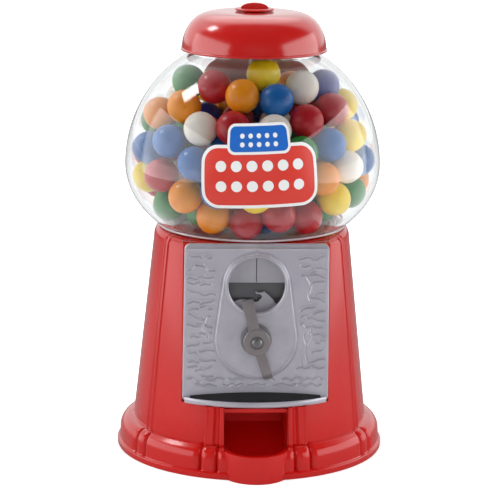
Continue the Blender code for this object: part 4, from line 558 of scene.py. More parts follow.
class Finish(Enum):
    """Every finish of the machine."""

    # Red ABS: deep gloss on the body, brighter reflections on the lid, satin inside the chute, whose red is
    # painted brighter as painted light for the deep throat
    RED = MouldedPlastic("moulded_abs_red", "#C2110C", roughness=0.20)
    POLISHED = MouldedPlastic("moulded_abs_red_polished", "#C0100A", roughness=0.20, coat=0.75,
                              sheen_level=0.8)
    CHUTE = MouldedPlastic("moulded_abs_red_satin_painted_light", "#E8120C", roughness=0.45, coat=0.0)
    # Castings: pale lilac-grey skin, a near-black zinc as painted shade in the visor's hollow and the guide's
    # seam, warm grey where hands wear the lever
    ZINC = CastZinc("cast_zinc_satin", "#D6D3DE", roughness=0.36, metallic=0.62, grain=0.05, speckle=0.06)
    HOLLOW = CastZinc("cast_zinc_painted_shade", "#39383A", roughness=0.45, metallic=0.5)
    LEVER = CastZinc("cast_zinc_tumbled", "#928B8D", roughness=0.34, metallic=0.5, grain=0.0, speckle=0.02)
    # Steel and brass of the works: brushed along the guide, dull on the rivet, brighter where plated
    GUIDE = CastZinc("rolled_steel_satin", "#BAB8C0", roughness=0.36, metallic=0.5, grain=0.03,
                     streak=(0.15, 3.0))
    RIVET = CastZinc("drawn_steel_dull", "#8A8A8D", roughness=0.36, metallic=0.7, grain=0.0)
    PRESSED = CastZinc("pressed_steel_dark", "#7E7D81", roughness=0.42, metallic=0.5)
    PLATED = CastZinc("zinc_plated_steel", "#B9BABC", roughness=0.26, grain=0.05)
    BRASS = CastZinc("sintered_brass", "#B8923E", roughness=0.35)
    # Other plastics and inks: milky nylon, black stopper, clear globe, a pale bead at its foot as a painted
    # highlight, flat prints
    NYLON = MouldedPlastic("moulded_nylon_natural", "#DEDCD2", roughness=0.4, coat=0.0)
    STOPPER = MouldedPlastic("moulded_pvc_black", "#1B1B1C", roughness=0.45, coat=0.0)
    CLEAR = ClearPlastic("blown_polycarbonate_clear")
    EDGE = MouldedPlastic("polycarbonate_edge_painted_highlight", "#C4B4B8", roughness=0.12, coat=0.5)
    # Plain pink-maroon sheet on the back of the globe, just under the lid
    LABEL = MouldedPlastic("back_sheet_maroon", "#CFA3AA", roughness=0.5, coat=0.0)
    PRINT_WHITE = MouldedPlastic("screen_print_white", "#EFEFEF", roughness=0.3, coat=0.2)
    PRINT_RED = MouldedPlastic("screen_print_red", "#D93A2E", roughness=0.3, coat=0.2)
    PRINT_BLUE = MouldedPlastic("screen_print_blue", "#1666C4", roughness=0.3, coat=0.2)

    def material(self) -> bpy.types.Material:
        """Material of the finish, made once and shared."""
        return bpy.data.materials.get(self.value.name) or self.value.material()


# Pedestal
@dataclass
class Pedestal:
    """Moulded red pedestal: lip, padded foot, tiered wall, plate seat, throat and cup."""

    steps: int = 1080
    lip_radius: float = 0.0647
    lip_height: float = 0.003
    foot_radius: float = 0.0635
    foot_round: float = 0.0060
    foot_top: float = 0.0145
    wall_foot_radius: float = 0.0566
    wall_top_radius: float = 0.0472
    height: float = 0.109
    shoulder_drop: float = 0.005
    shoulder_inset: float = 0.003
    rib_bead: float = 0.0007
    pad_notch: float = 0.0028
    pad_round: float = 2.9
    seat_half: float = 0.03465
    plate_back: float = 0.0446
    sill: float = 0.0331
    throat_half: float = 0.0149
    throat_back: float = 0.0495
    cup_centre: float = 0.055
    cup_radius: float = 0.0154
    cup_wall: float = 0.0023
    cup_height: float = 0.013
    cup_floor: float = 0.0024
    inner_half: float = 0.0316
    seat_top: float = 0.0037
    web_half: float = 0.0259
    web_low: float = 0.0397
    sill_thick: float = 0.0022
    sill_radius: float = 0.0560
    sill_half: float = 0.0330
    sill_back: float = 0.0415
    bore: float = 0.0389
    rebate_radius: float = 0.0430
    rebate_low: float = 0.1077
    cutter_front: float = 0.080

    # Wall sections: edge angle in degrees and the rise from there on, from the front to the side
    wall_tiers: tuple[Point2, ...] = ((0.0, 0.0036), (17.2, 0.0024), (19.4, 0.0040), (24.1, 0.0024),
                                      (56.6, 0.0012), (61.7, 0.0))
    back_tiers: tuple[Point2, ...] = ((0.0, 0.0024), (56.6, 0.0012), (61.7, 0.0))
    pad_edges: tuple[float, ...] = (17.4, 24.9, 55.9, 62.9)

    def wall_rise(self, angle: float, tiers: Sequence[Point2], blend: float = 0.65) -> float:
        """Rise of the tiered wall, with soft steps and a thin bead before each edge.

        Args:
            angle: Degrees from the front or the back.
            tiers: The wall's sections.
            blend: Width of a step in degrees.

        Returns:
            How far the wall stands out there.
        """
        rise = tiers[0][1]
        for (edge, after), before in zip(tiers[1:], [t[1] for t in tiers]):
            share = min(1.0, max(0.0, (angle - edge) / blend * 0.5 + 0.5))
            rise += (after - before) * share * share * (3 - 2 * share)
            rise += self.rib_bead * math.exp(-((angle - edge + 1.1) / 0.7) ** 2)
        return rise

    def pad_rise(self, angle: float, back: bool) -> float:
        """Fall of the foot at the notches between its pads; each pad rounds into its notch.

        Args:
            angle: Degrees from the front or the back.
            back: Whether the back's pads count.

        Returns:
            The fall, as a negative rise.
        """
        edges = self.pad_edges[2:] if back else self.pad_edges
        nearest = min(abs(angle - edge) for edge in edges)
        share = max(0.0, 1 - nearest / self.pad_round)
        return -self.pad_notch * (1 - math.sqrt(1 - share * share))

    def levels(self) -> list[tuple[float, float, float, float]]:
        """Rings of the skin, from the lip over the foot and the wall to the rounded shoulder.

        Returns:
            Height, radius, share of tiers and share of pads of each ring.
        """
        lip, low, foot = self.lip_radius, self.lip_height, self.foot_radius
        rings = [(0.0, lip - 0.0002, 0.0, 0.0), (0.0004, lip, 0.0, 0.0), (low - 0.0005, lip, 0.0, 0.0),
                 (low - 0.0001, lip - 0.0003, 0.0, 0.2), (low, foot + 0.0004, 0.0, 0.6),
                 (low + 0.0005, foot, 0.0, 1.0), (0.0060, foot - 0.0001, 0.0, 1.0)]
        centre = self.foot_top - self.foot_round
        inner = foot - 0.0002 - self.foot_round
        for step in range(9):
            angle = math.radians(90 * step / 9)
            fade = max(0.0, 1 - max(0.0, step - 6) / 4)
            rings.append((centre + self.foot_round * math.sin(angle),
                          inner + self.foot_round * math.cos(angle), 1 - fade, fade))
        rings += [(self.foot_top + 0.0001, inner - 0.0001, 0.65, 0.3),
                  (self.foot_top + 0.0006, inner - 0.0006, 0.9, 0.1)]
        low = self.foot_top + 0.002
        high = self.height - self.shoulder_drop
        narrowing = self.wall_top_radius - self.wall_foot_radius
        for step in range(11):
            share = step / 10
            rings.append((low + (high - low) * share, self.wall_foot_radius + narrowing * share, 1.0, 0.0))
        for step in range(1, 9):
            angle = math.radians(90 * step / 8)
            rings.append((high + self.shoulder_drop * math.sin(angle),
                          self.wall_top_radius - self.shoulder_inset * (1 - math.cos(angle)),
                          0.35 + 0.65 * math.cos(angle), 0.0))
        return rings

    def skin(self) -> bmesh.types.BMesh:
        """Outer skin: a circle drawn up ring by ring, then pushed out by tiers and pads.

        Returns:
            The shape.
        """
        shape = bmesh.new()
        rings = self.levels()
        made = bmesh.ops.create_circle(shape, segments=self.steps, radius=self.lip_radius, cap_ends=False)
        rows = [made["verts"]]
        edges = list(shape.edges)
        for _ in rings[1:]:
            row, edges = Shape.grow(shape, edges)
            rows.append(row)
        for row, (height, radius, tiers, pads) in zip(rows, rings):
            for vert in row:
                turn = math.atan2(vert.co.x, -vert.co.y)
                angle = abs(math.degrees(turn))
                back = angle > 90
                angle = 180 - angle if back else angle
                rise = tiers * self.wall_rise(angle, self.back_tiers if back else self.wall_tiers)
                rise += pads * self.pad_rise(angle, back)
                reach = radius + rise
                vert.co = Vector((reach * math.sin(turn), -reach * math.cos(turn), height))
        bmesh.ops.holes_fill(shape, edges=[e for e in shape.edges if len(e.link_faces) == 1], sides=0)
        bmesh.ops.recalc_face_normals(shape, faces=shape.faces)
        return shape

    def cavity(self) -> bmesh.types.BMesh:
        """Space inside the pedestal with the bore for the hopper and the globe's seat."""
        top = self.height - self.seat_top
        return Shape.spin((
            (0, -0.004), (0.0599, -0.004), (0.0599, 0.0085), (0.0591, 0.0103), (0.0573, 0.0111),
            (0.0548, 0.0111), (self.wall_top_radius - 0.0024, top), (self.bore, top),
            (self.bore, self.rebate_low), (self.rebate_radius, self.rebate_low),
            (self.rebate_radius, self.height + 0.004), (0, self.height + 0.004)), 128)

    def cup_hollow(self, clear: float = 0.0) -> list[bmesh.types.BMesh]:
        """Cutters for the throat, the cup and the channel between them.

        Args:
            clear: How much wider and lower the throat is cut, so that two pieces share no face there.

        Returns:
            The cutters.
        """
        inner = self.cup_radius - self.cup_wall
        round_part = Shape.slab(Shape.arc((0, -self.cup_centre), inner, 0, 2 * math.pi, 64)[:-1],
                                self.cup_floor, self.cup_height + 0.006)
        return [
            Shape.box((-self.throat_half - clear, -0.078, self.cup_height - clear),
                      (self.throat_half + clear, 0.004 - self.throat_back, self.sill + 0.0003)),
            Shape.box((-inner + 0.0001, -self.cup_centre, self.cup_floor + 0.0001),
                      (inner - 0.0001, 0.004 - self.throat_back, self.cup_height + 0.0003)),
            round_part,
        ]

    def throat_way(self) -> bmesh.types.BMesh:
        """Cutter that opens the sill and the seat frame over the throat."""
        return Shape.box((-self.throat_half, -0.0700, self.sill - 0.0040),
                         (self.throat_half, -0.0300, self.sill + 0.0001))

    def seat(self) -> bmesh.types.BMesh:
        """Frame that the coin plate lies in, with a thin web behind the plate's edges.

        Returns:
            The shape, in place on the front.
        """
        half, inner, back, top = self.seat_half, self.inner_half, self.plate_back, self.height - self.seat_top
        rim = Shape.box((-half, self.sill - self.sill_thick, inner),
                        (half, self.height - 0.0003, back - 0.0003))
        opening = Shape.box((-inner - 0.0002, self.sill, 0.0300), (inner + 0.0002, top, 0.0460))
        rim = Shape.bevel(Shape.boolean(rim, "DIFFERENCE", [opening]), 0.0006, 3)
        web = Shape.box((-0.0330, self.sill, back - 0.0027), (0.0330, self.height - 0.0030, back - 0.0004))
        hole = Shape.box((-self.web_half, self.web_low, back - 0.0060), (self.web_half, top, back + 0.0020))
        web = Shape.boolean(web, "DIFFERENCE", [hole])
        rim = Shape.boolean(Shape.to_front(rim), "DIFFERENCE", [self.throat_way()])
        return Shape.together((rim, Shape.to_front(web)))

    def cup(self) -> bmesh.types.BMesh:
        """Payout cup with the chute block that runs up to the sill.

        Returns:
            The shape.
        """
        outer, wall, back = self.cup_radius, self.throat_half + self.cup_wall, -self.throat_back
        curve = Shape.arc((0, -self.cup_centre), outer, math.pi, 2 * math.pi, 48)
        bowl = Shape.slab(curve + [(outer, -0.0520), (-outer, -0.0520)], 0.0, self.cup_height)
        low_block = Shape.box((-wall, -0.0590, 0.0002), (wall, back, 0.0142))
        high_block = Shape.box((-wall, -0.0548, 0.0121), (wall, back, self.sill - 0.0004))
        body = Shape.boolean(bowl, "UNION", [low_block, high_block])
        body = Shape.boolean(body, "DIFFERENCE", self.cup_hollow())
        bmesh.ops.remove_doubles(body, verts=body.verts, dist=0.00002)
        bmesh.ops.dissolve_limit(body, angle_limit=math.radians(0.6), verts=body.verts, edges=body.edges)
        return Shape.bevel(body, 0.0007, 3, 40.0)

    def build(self) -> None:
        """Make the skin, the seat frame, the sill and the cup."""
        half, inner = self.seat_half, self.inner_half
        front = -self.cutter_front
        pocket = Shape.box((-half, front, self.sill), (half, -self.plate_back + 0.0003, 0.120))
        room = Shape.box((-inner, front, self.sill), (inner, -0.0300, self.height - self.seat_top))
        # The skin's throat is cut wider and lower than the cup's, so that the two share no face
        cutters = [self.cavity(), room, pocket, *self.cup_hollow(0.0003)]
        skin = Shape.boolean(self.skin(), "DIFFERENCE", cutters)
        Shape.piece("pedestal", skin, Finish.RED, ("base_shell",), sharp=33.0)
        Shape.piece("plate_seat_frame", self.seat(), Finish.RED)
        sill = Shape.arc((0, 0), self.sill_radius, math.radians(234), math.radians(306), 24)
        sill += [(self.sill_half, -self.sill_back), (-self.sill_half, -self.sill_back)]
        ledge = Shape.slab(sill, self.sill - self.sill_thick, self.sill)
        Shape.piece("plate_sill", Shape.boolean(ledge, "DIFFERENCE", [self.throat_way()]), Finish.RED)
        Shape.piece("payout_cup", self.cup(), Finish.RED)


# Coin plate
@dataclass
class CoinPlate:
    """Die-cast plate with a thin rim, a smooth egg-shaped panel and rippled strokes in low relief."""

    low: float = 0.0334
    high: float = 0.1090
    back: float = 0.0446
    face: float = 0.0465
    half_low: float = 0.03435
    half_high: float = 0.0336
    corner: float = 0.0026
    border: float = 0.0012
    border_rise: float = 0.0003
    brow: float = 0.0024
    brow_drop: float = 0.0013
    handle_height: float = 0.0638
    window_height: float = 0.0893
    window_radius: float = 0.0132
    bead: float = 0.0016
    bead_rise: float = 0.0012
    panel_low_radius: float = 0.0191
    panel_top_radius: float = 0.0156
    panel_rise: float = 0.0006
    relief: float = 0.00050
    line_width: float = 0.00034
    visor_radius: float = 0.0590
    visor_height: float = 0.0026
    columns: int = 264
    rows: int = 290
    handle_bore: float = 0.0033
    edge_round: float = 0.0006
    seam_half: float = 0.00022
    seam_depth: float = 0.00040
    ridge: float = 0.00022
    moat: float = 0.00040

    def half_width(self, height: float) -> float:
        """Half width of the plate at a height."""
        share = (height - self.low) / (self.high - self.low)
        return self.half_low + (self.half_high - self.half_low) * share

    @staticmethod
    def ripple(centre: Point2, length: float, turn: float, waves: float, swing: float) -> np.ndarray:
        """Wavy stroke of the relief.

        Args:
            centre: Its middle, side and height in metres.
            length: How long it is.
            turn: Its direction in degrees from the side axis.
            waves: How many waves it has.
            swing: How far they swing out.

        Returns:
            A run of points.
        """
        t = np.linspace(-0.5, 0.5, 30)
        along = length * t
        away = swing * np.sin(2 * math.pi * waves * t + turn) * (1.15 - np.abs(t))
        c, s = math.cos(math.radians(turn)), math.sin(math.radians(turn))
        return np.stack((centre[0] + along * c - away * s, centre[1] + along * s + away * c), axis=1)

    def strokes(self) -> list[np.ndarray]:
        """Every groove of the relief: ripples in both side columns and along the foot, and tall stems.

        Returns:
            Runs of points, side and height in metres.
        """
        chance = np.random.default_rng(23)
        runs: list[np.ndarray] = []
        for level in range(15):
            height = 0.0450 + 0.0041 * level
            for hand in (-1, 1):
                room = self.half_width(height) - 0.0012
                for place in (0.0292, 0.0232):
                    if hand > 0 and place < 0.025 and level in (2, 3, 4, 5, 9, 10, 11):
                        continue
                    length = chance.uniform(0.0048, 0.0082)
                    side = hand * min(place + chance.uniform(-0.0012, 0.0012), room - length / 2)
                    runs.append(self.ripple((side, height + chance.uniform(-0.0012, 0.0012)), length,
                                            chance.uniform(-22, 22), chance.uniform(0.6, 1.4),
                                            chance.uniform(0.0003, 0.0007)))
        for side, height, length, lean in ((0.0246, 0.0602, 0.0170, 84), (0.0228, 0.0585, 0.0150, 86),
                                           (0.0246, 0.0880, 0.0120, 98), (-0.0238, 0.0700, 0.0110, 96)):
            runs.append(self.ripple((side, height), length, lean, 1.1, 0.0010))
        for row in range(2):
            for k in range(5):
                side = -0.0240 + 0.0125 * k + 0.0040 * row + chance.uniform(-0.001, 0.001)
                if abs(side) < 0.0265:
                    runs.append(self.ripple((side, 0.0412 + 0.0030 * row), chance.uniform(0.0080, 0.0110),
                                            chance.uniform(-8, 8), chance.uniform(1.2, 2.2),
                                            chance.uniform(0.0004, 0.0007)))
        return runs

    def relief_height(self, points: np.ndarray) -> np.ndarray:
        """Height of the relief over the plate's face.

        Args:
            points: Side and height of each point.

        Returns:
            One height per point, in metres.
        """
        runs = []
        for run in self.strokes():
            steps = np.linspace(0, len(run) - 1, (len(run) - 1) * 3 + 1)
            runs.append(np.stack([np.interp(steps, np.arange(len(run)), run[:, i]) for i in (0, 1)], axis=1))
        lines = np.concatenate(runs)
        nearest = np.full(len(points), 1.0)
        for part in np.array_split(lines, max(1, len(lines) // 120)):
            gap = np.hypot(points[:, None, 0] - part[None, :, 0], points[:, None, 1] - part[None, :, 1])
            nearest = np.minimum(nearest, gap.min(axis=1))
        groove = bell(nearest, self.line_width)
        lip = bell(nearest - 2.2 * self.line_width, self.line_width)
        return self.relief * (0.2 * lip - groove)

    def panel_distance(self, points: np.ndarray) -> np.ndarray:
        """Distance to the edge of the egg-shaped panel.

        Args:
            points: Side and height of each point.

        Returns:
            The distances, negative inside.
        """
        rise = self.window_height - self.handle_height
        slope = (self.panel_low_radius - self.panel_top_radius) / rise
        lean = math.sqrt(1 - slope * slope)
        x = np.abs(points[:, 0])
        z = points[:, 1] - self.handle_height
        along = z * lean - x * slope
        side = x * lean + z * slope - self.panel_low_radius
        low = np.hypot(x, z) - self.panel_low_radius
        high = np.hypot(x, z - rise) - self.panel_top_radius
        return np.where(along < 0, low, np.where(along > rise * lean, high, side))

    def fitted(self, flat: np.ndarray) -> tuple[np.ndarray, np.ndarray, np.ndarray]:
        """Fit a square grid to the plate's outline, with its rounded corners.

        Args:
            flat: Grid points from -1 to 1.

        Returns:
            Side, height and way in from the plate's edge of each point.
        """
        height = (self.low + self.high) / 2 + flat[:, 1] * (self.high - self.low) / 2
        share = (height - self.low) / (self.high - self.low)
        half = self.half_low + (self.half_high - self.half_low) * share
        side = flat[:, 0] * half
        inset = half - self.corner
        for top in (False, True):
            edge = self.high - self.corner if top else self.low + self.corner
            beyond = height > edge if top else height < edge
            over = np.abs(side) - inset
            gap = np.hypot(over, height - edge)
            out = beyond & (over > 0) & (gap > self.corner)
            scale = np.where(out, self.corner / np.maximum(gap, 1e-9), 1.0)
            side = np.where(out, np.sign(side) * (inset + over * scale), side)
            height = np.where(out, edge + (height - edge) * scale, height)
        rim = np.minimum(half - np.abs(side), np.minimum(self.high - height, height - self.low))
        corner_x = np.abs(side) - inset
        corner_z = np.maximum(height - (self.high - self.corner), (self.low + self.corner) - height)
        in_corner = (corner_x > 0) & (corner_z > 0)
        rim = np.where(in_corner, self.corner - np.hypot(corner_x, corner_z), rim)
        return side, height, np.maximum(rim, 0.0)

    def lift(self, side: np.ndarray, height: np.ndarray, rim: np.ndarray) -> np.ndarray:
        """Rise of the cast face: border, panel with its edge line, relief, seam, brow and rounded edge.

        Args:
            side: Side of each point.
            height: Height of each point.
            rim: Way in from the plate's edge.

        Returns:
            How far each point stands off the plain face.
        """
        points = np.stack((side, height), axis=1)
        panel = self.panel_distance(points)
        step = rising(self.border - rim, 0.0007)
        inside = np.clip(-panel / 0.00045 + 0.5, 0, 1)
        lift = np.maximum(self.border_rise * step * step * (3 - 2 * step),
                          self.panel_rise * inside * inside * (3 - 2 * inside))
        edge_line = self.ridge * bell(panel + 0.0006, 0.0004) - self.moat * bell(panel - 0.0005, 0.00032)
        field = rising(panel - 0.0008, 0.0006) * rising(rim - self.border - 0.0002, 0.0005)
        field = field * rising(height - self.low - 0.0062, 0.0008)
        field = field * rising(self.high - self.brow - 0.0006 - height, 0.0008)
        lift = lift + np.where(rim > self.border, edge_line, 0.0) + field * self.relief_height(points)
        seam = bell(side, self.seam_half) * (height > self.window_height + self.window_radius)
        lift = lift - self.seam_depth * seam * (height < self.high - self.brow)
        lift = lift + self.ridge * bell(height - self.high + self.brow, 0.0003)
        lift = lift - self.brow_drop * rising(height - (self.high - self.brow), self.brow)
        fall = 1 - rising(rim, self.edge_round)
        return lift - 0.0005 * (1 - np.sqrt(np.clip(1 - fall ** 2, 0, 1)))

    def sheet(self) -> bmesh.types.BMesh:
        """Cast face: a fine grid fitted to the outline and raised by its relief, closed behind.

        Returns:
            The shape.
        """
        shape = bmesh.new()
        bmesh.ops.create_grid(shape, x_segments=self.columns, y_segments=self.rows, size=1.0)
        shape.verts.ensure_lookup_table()
        side, height, rim = self.fitted(np.array([(v.co.x, v.co.y) for v in shape.verts]))
        for vert, x, z, rise in zip(shape.verts, side, height, self.lift(side, height, rim)):
            vert.co = Vector((x, -(self.face + rise), z))
        keep_out = self.window_radius + self.bead * 0.55
        gone = [v for v in shape.verts if math.hypot(v.co.x, v.co.z - self.window_height) < keep_out
                or math.hypot(v.co.x, v.co.z - self.handle_height) < self.handle_bore]
        bmesh.ops.delete(shape, geom=gone, context="VERTS")
        bmesh.ops.remove_doubles(shape, verts=shape.verts, dist=0.00002)
        corners, _ = Shape.grow(shape, [e for e in shape.edges if len(e.link_faces) == 1])
        for vert in corners:
            vert.co.y = -self.back
        bmesh.ops.recalc_face_normals(shape, faces=shape.faces)
        spot = Vector((0.03, -self.face, 0.07))
        centre = min(shape.faces, key=lambda f: (f.calc_center_median() - spot).length)
        if centre.normal.y > 0:
            bmesh.ops.reverse_faces(shape, faces=shape.faces)
        return shape

    def window_bead(self) -> bmesh.types.BMesh:
        """Round moulding about the coin window, with a small step inside it.

        Returns:
            The shape, in place on the front.
        """
        inner, outer = self.window_radius, self.window_radius + self.bead
        top = self.face + self.bead_rise
        profile = [(inner, self.back + 0.0003), (outer, self.back + 0.0003)]
        profile += Shape.shoulder(outer, top, 0.0008, 5) + [(inner + 0.0004, top), (inner, top - 0.0004)]
        return Shape.to_front(Shape.spin(profile, 96), 0, self.window_height)

    def visor(self) -> bmesh.types.BMesh:
        """Hood over the throat: a crescent shelf with a rolled lip and a hollow behind it.

        Returns:
            The shape; the hollow has the second finish, a near-black zinc that is painted shade.
        """
        outer = self.visor_radius
        edge = math.asin((self.half_low - 0.0010) / outer)
        top = self.low + self.visor_height
        steps = 72
        shape = bmesh.new()
        section, lip = self.visor_section()
        ring = [shape.verts.new((0, -inwards, height)) for inwards, height in section]
        edges = [shape.edges.new((ring[i], ring[(i + 1) % len(ring)])) for i in range(len(ring))]
        rows = [ring]
        for _ in range(steps):
            fresh, edges = Shape.grow(shape, edges)
            near = {round(v.co.y, 7) * 1000 + round(v.co.z, 7): v for v in fresh}
            rows.append([near[round(-inwards, 7) * 1000 + round(height, 7)] for inwards, height in section])
        for i, row in enumerate(rows):
            angle = -edge + 2 * edge * i / steps
            side, reach = outer * math.sin(angle), outer * math.cos(angle)
            share = min(1.0, max(0.10, (reach - self.face) / 0.0125))
            for vert, (inwards, height) in zip(row, section):
                back = min(-(reach - inwards * share), -self.face + 0.0006)
                rise = top + (height - top) * share if height > top else height
                vert.co = Vector((side * (1 - inwards * 0.4 / outer), back, rise))
        # The hollow's faces take the second finish, near-black zinc that paints the shade under the lip
        for low, high in zip(rows, rows[1:]):
            for k in range(lip, len(section) - 1):
                face = next(f for f in low[k].link_faces if low[k + 1] in f.verts and high[k] in f.verts)
                face.material_index = 1
        bmesh.ops.holes_fill(shape, edges=[e for e in shape.edges if len(e.link_faces) == 1], sides=0)
        bmesh.ops.remove_doubles(shape, verts=shape.verts, dist=0.000005)
        bmesh.ops.recalc_face_normals(shape, faces=shape.faces)
        return shape

    def visor_section(self) -> tuple[list[Point2], int]:
        """Cross-section of the hood at its middle.

        Returns:
            Distance in from the lip and height of each point, and where the hollow starts.
        """
        low, top = self.low, self.low + self.visor_height
        bead = 0.0010
        lip = [(bead - bead * math.sin(math.radians(a)), top - bead + bead * math.cos(math.radians(a)))
               for a in (90, 60, 30, 0, -30, -60)]
        hollow = [(0.0030, top - 0.0014), (0.0050, top - 0.0018), (0.0080, top - 0.0016),
                  (0.0102, top - 0.0008), (0.0116, top + 0.0004), (0.0124, top + 0.0018)]
        front = [(0.0124, low), (0.0006, low), (0.0, low + 0.0006)]
        return front + lip + hollow, len(front) + len(lip) - 1

    def build(self) -> None:
        """Make the plate, its bead and its visor."""
        zinc = Finish.ZINC
        Shape.piece("coin_plate", self.sheet(), zinc, ("front_plate",), "zinc_plate", sharp=50.0)
        Shape.piece("window_bead", self.window_bead(), zinc, slot="zinc_plate")
        visor = Shape.piece("throat_visor", self.visor(), zinc, slot="zinc_plate", sharp=60.0)
        # Near-black zinc on the hollow is painted shade
        visor.data.materials.append(Finish.HOLLOW.material())
        # Thin near-black strip on the coin guide paints the shade in its seam
        low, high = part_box("coin_guide")
        seam = Shape.box((-0.00014, low[1] - 0.00004, low[2] + 0.0002),
                         (0.00014, low[1] + 0.0002, high[2] - 0.0002))
        Shape.piece("guide_seam_painted_shade", Shape.bevel(seam, 0.00004, 1), Finish.HOLLOW, slot="zinc_plate")


# Lever and coin wheel
@dataclass
class Lever:
    """Turning lever: collar, hub, two cranked arms and a domed rivet."""

    height: float = 0.0638
    collar_rear: float = 0.0474
    collar_front: float = 0.0505
    collar_radius: float = 0.0072
    hub_rear: float = 0.0508
    hub_front: float = 0.0550
    hub_radius: float = 0.0064
    arm_thick: float = 0.0024
    bore: float = 0.0030
    rivet_radius: float = 0.00265
    rivet_rise: float = 0.0020
    body: str = "turning_handle"

    def arm(self, length: float, angle: float,
            stations: Sequence[tuple[float, float, float]]) -> bmesh.types.BMesh:
        """Cranked arm, drawn up from its root ring by ring and chamfered.

        Args:
            length: Reach from the shaft.
            angle: Clockwise lean from upright, in degrees.
            stations: Share of the length, rise and half width at each bend.

        Returns:
            The shape, in place on the front.
        """
        shape = bmesh.new()
        base = self.hub_front - self.arm_thick - 0.0006
        corners = ((-1, 0), (1, 0), (1, 1), (-1, 1))
        ring = [shape.verts.new((side * stations[0][2], 0, base + top * self.arm_thick))
                for side, top in corners]
        face = shape.faces.new(ring)
        for share, rise, half in stations[1:]:
            drawn = bmesh.ops.extrude_discrete_faces(shape, faces=[face])["faces"]
            face = drawn[0]
            for vert in face.verts:
                side = 1 if vert.co.x > 0 else -1
                top = 1 if vert.co.z > self._middle(face) else 0
                vert.co = Vector((side * half, share * length, base + rise + top * self.arm_thick))
        bmesh.ops.recalc_face_normals(shape, faces=shape.faces)
        Shape.bevel(shape, 0.0004, 2, 12.0)
        lean = Matrix.Rotation(-math.radians(angle), 3, "Z")
        bmesh.ops.rotate(shape, verts=shape.verts, cent=(0, 0, 0), matrix=lean)
        return Shape.to_front(shape, 0, self.height)

    @staticmethod
    def _middle(face: bmesh.types.BMFace) -> float:
        """Height of a face's middle."""
        return sum(v.co.z for v in face.verts) / len(face.verts)

    def build(self) -> None:
        """Make the collar, the lever and the rivet."""
        profile = [(self.bore, self.collar_rear), (self.collar_radius, self.collar_rear)]
        profile += Shape.shoulder(self.collar_radius, self.collar_front, 0.0007)
        collar = Shape.spin(profile + [(self.bore, self.collar_front)], 64)
        Shape.piece("lever_collar", Shape.to_front(collar, 0, self.height), Finish.PRESSED,
                    ("handle_collar",), "zinc_plate")
        top = self.hub_front
        profile = [(0, self.hub_rear), (self.hub_radius, self.hub_rear)]
        profile += Shape.shoulder(self.hub_radius, top, 0.0006)
        hub = Shape.spin(profile + [(0.0031, top), (0.0029, top - 0.0002), (0, top - 0.0002)], 64)
        upper = self.arm(0.0206, -12.9, ((0.1, 0.0, 0.0027), (0.36, 0.0, 0.0027), (0.56, 0.0014, 0.0026),
                                         (0.93, 0.0010, 0.0028), (1.0, -0.0003, 0.0027)))
        lower = self.arm(0.0186, 162.4, ((0.1, 0.0, 0.0024), (0.40, 0.0, 0.0024), (0.86, 0.0004, 0.0023),
                                         (1.0, -0.0014, 0.0023)))
        lever = Shape.together((Shape.to_front(hub, 0, self.height), upper, lower))
        Shape.piece("turning_lever", lever, Finish.LEVER, ("handle",), "handle_zinc", self.body, 28.0)
        profile = [(0, top - 0.0010), (0.0014, top - 0.0010), (0.0014, top + 0.0001),
                   (self.rivet_radius, top + 0.0001)]
        for angle in (math.radians(degrees) for degrees in range(0, 90, 15)):
            profile.append((self.rivet_radius * math.cos(angle), top + 0.0004 + 0.0016 * math.sin(angle)))
        rivet = Shape.spin(profile + [(0, top + self.rivet_rise)], 48)
        Shape.piece("lever_rivet", Shape.to_front(rivet, 0, self.height), Finish.RIVET,
                    ("handle_rivet",), "plated_steel", self.body)


@dataclass
class CoinWheel:
    """Coin wheel behind the window: a lobe, the coin notch and a ridged hook at its edge."""

    height: float = 0.0638
    rear: float = 0.0402
    front: float = 0.0424
    radius: float = 0.0221
    bore: float = 0.0030
    chamfer: float = 0.00012

    # Degrees clockwise from the top and share of the radius: the lobe, the coin notch and the hook
    edge: tuple[Point2, ...] = (
        (-52, 0.84), (-40, 0.87), (-31, 0.89), (-23, 0.878), (-16, 0.83), (-10, 0.80), (-4, 0.79),
        (-3, 0.757), (0, 0.745), (4, 0.765), (7, 0.82), (8.5, 0.87), (6.5, 0.91), (2.5, 0.93),
        (0.5, 0.915), (-1.5, 0.99), (3, 0.958), (7, 0.965), (10, 1.0))

    def outline(self) -> list[Point2]:
        """Edge of the wheel clockwise from the upper left, with fine ridges after the hook.

        Returns:
            Side and height of each point from the shaft.
        """
        points = [(a, self.radius * share) for a, share in self.edge]
        for k in range(18):
            angle = 11.2 + 1.2 * k
            plain = self.radius * (1.0 - 0.16 * min(1.0, (angle - 10) / 21))
            points.append((angle, plain - (0.00028 if k % 2 else 0.0)))
        points += [(float(angle), self.radius * 0.82) for angle in range(43, 304, 6)]
        return [(r * math.sin(math.radians(a)), r * math.cos(math.radians(a))) for a, r in points]

    def build(self) -> None:
        """Make the wheel with its shaft bore and a fine chamfer on its front edge."""
        disc = Shape.slab(self.outline(), self.rear, self.front)
        bore = Shape.arc((0, 0), self.bore, 0, 2 * math.pi, 32)[:-1]
        wheel = Shape.boolean(disc, "DIFFERENCE", [Shape.slab(bore, self.rear - 0.001, self.front + 0.001)])
        edges = [e for e in wheel.edges if all(abs(v.co.z - self.front) < 1e-6 for v in e.verts)
                 and len(e.link_faces) == 2 and e.calc_face_angle(0.0) > 1.0]
        bmesh.ops.bevel(wheel, geom=edges, offset=self.chamfer, affect="EDGES", segments=1, profile=0.5,
                        material=-1)
        Shape.piece("coin_wheel_disc", Shape.to_front(wheel, 0, self.height), Finish.GUIDE,
                    ("coin_wheel",), "zinc_plate", "turning_handle", 25.0)


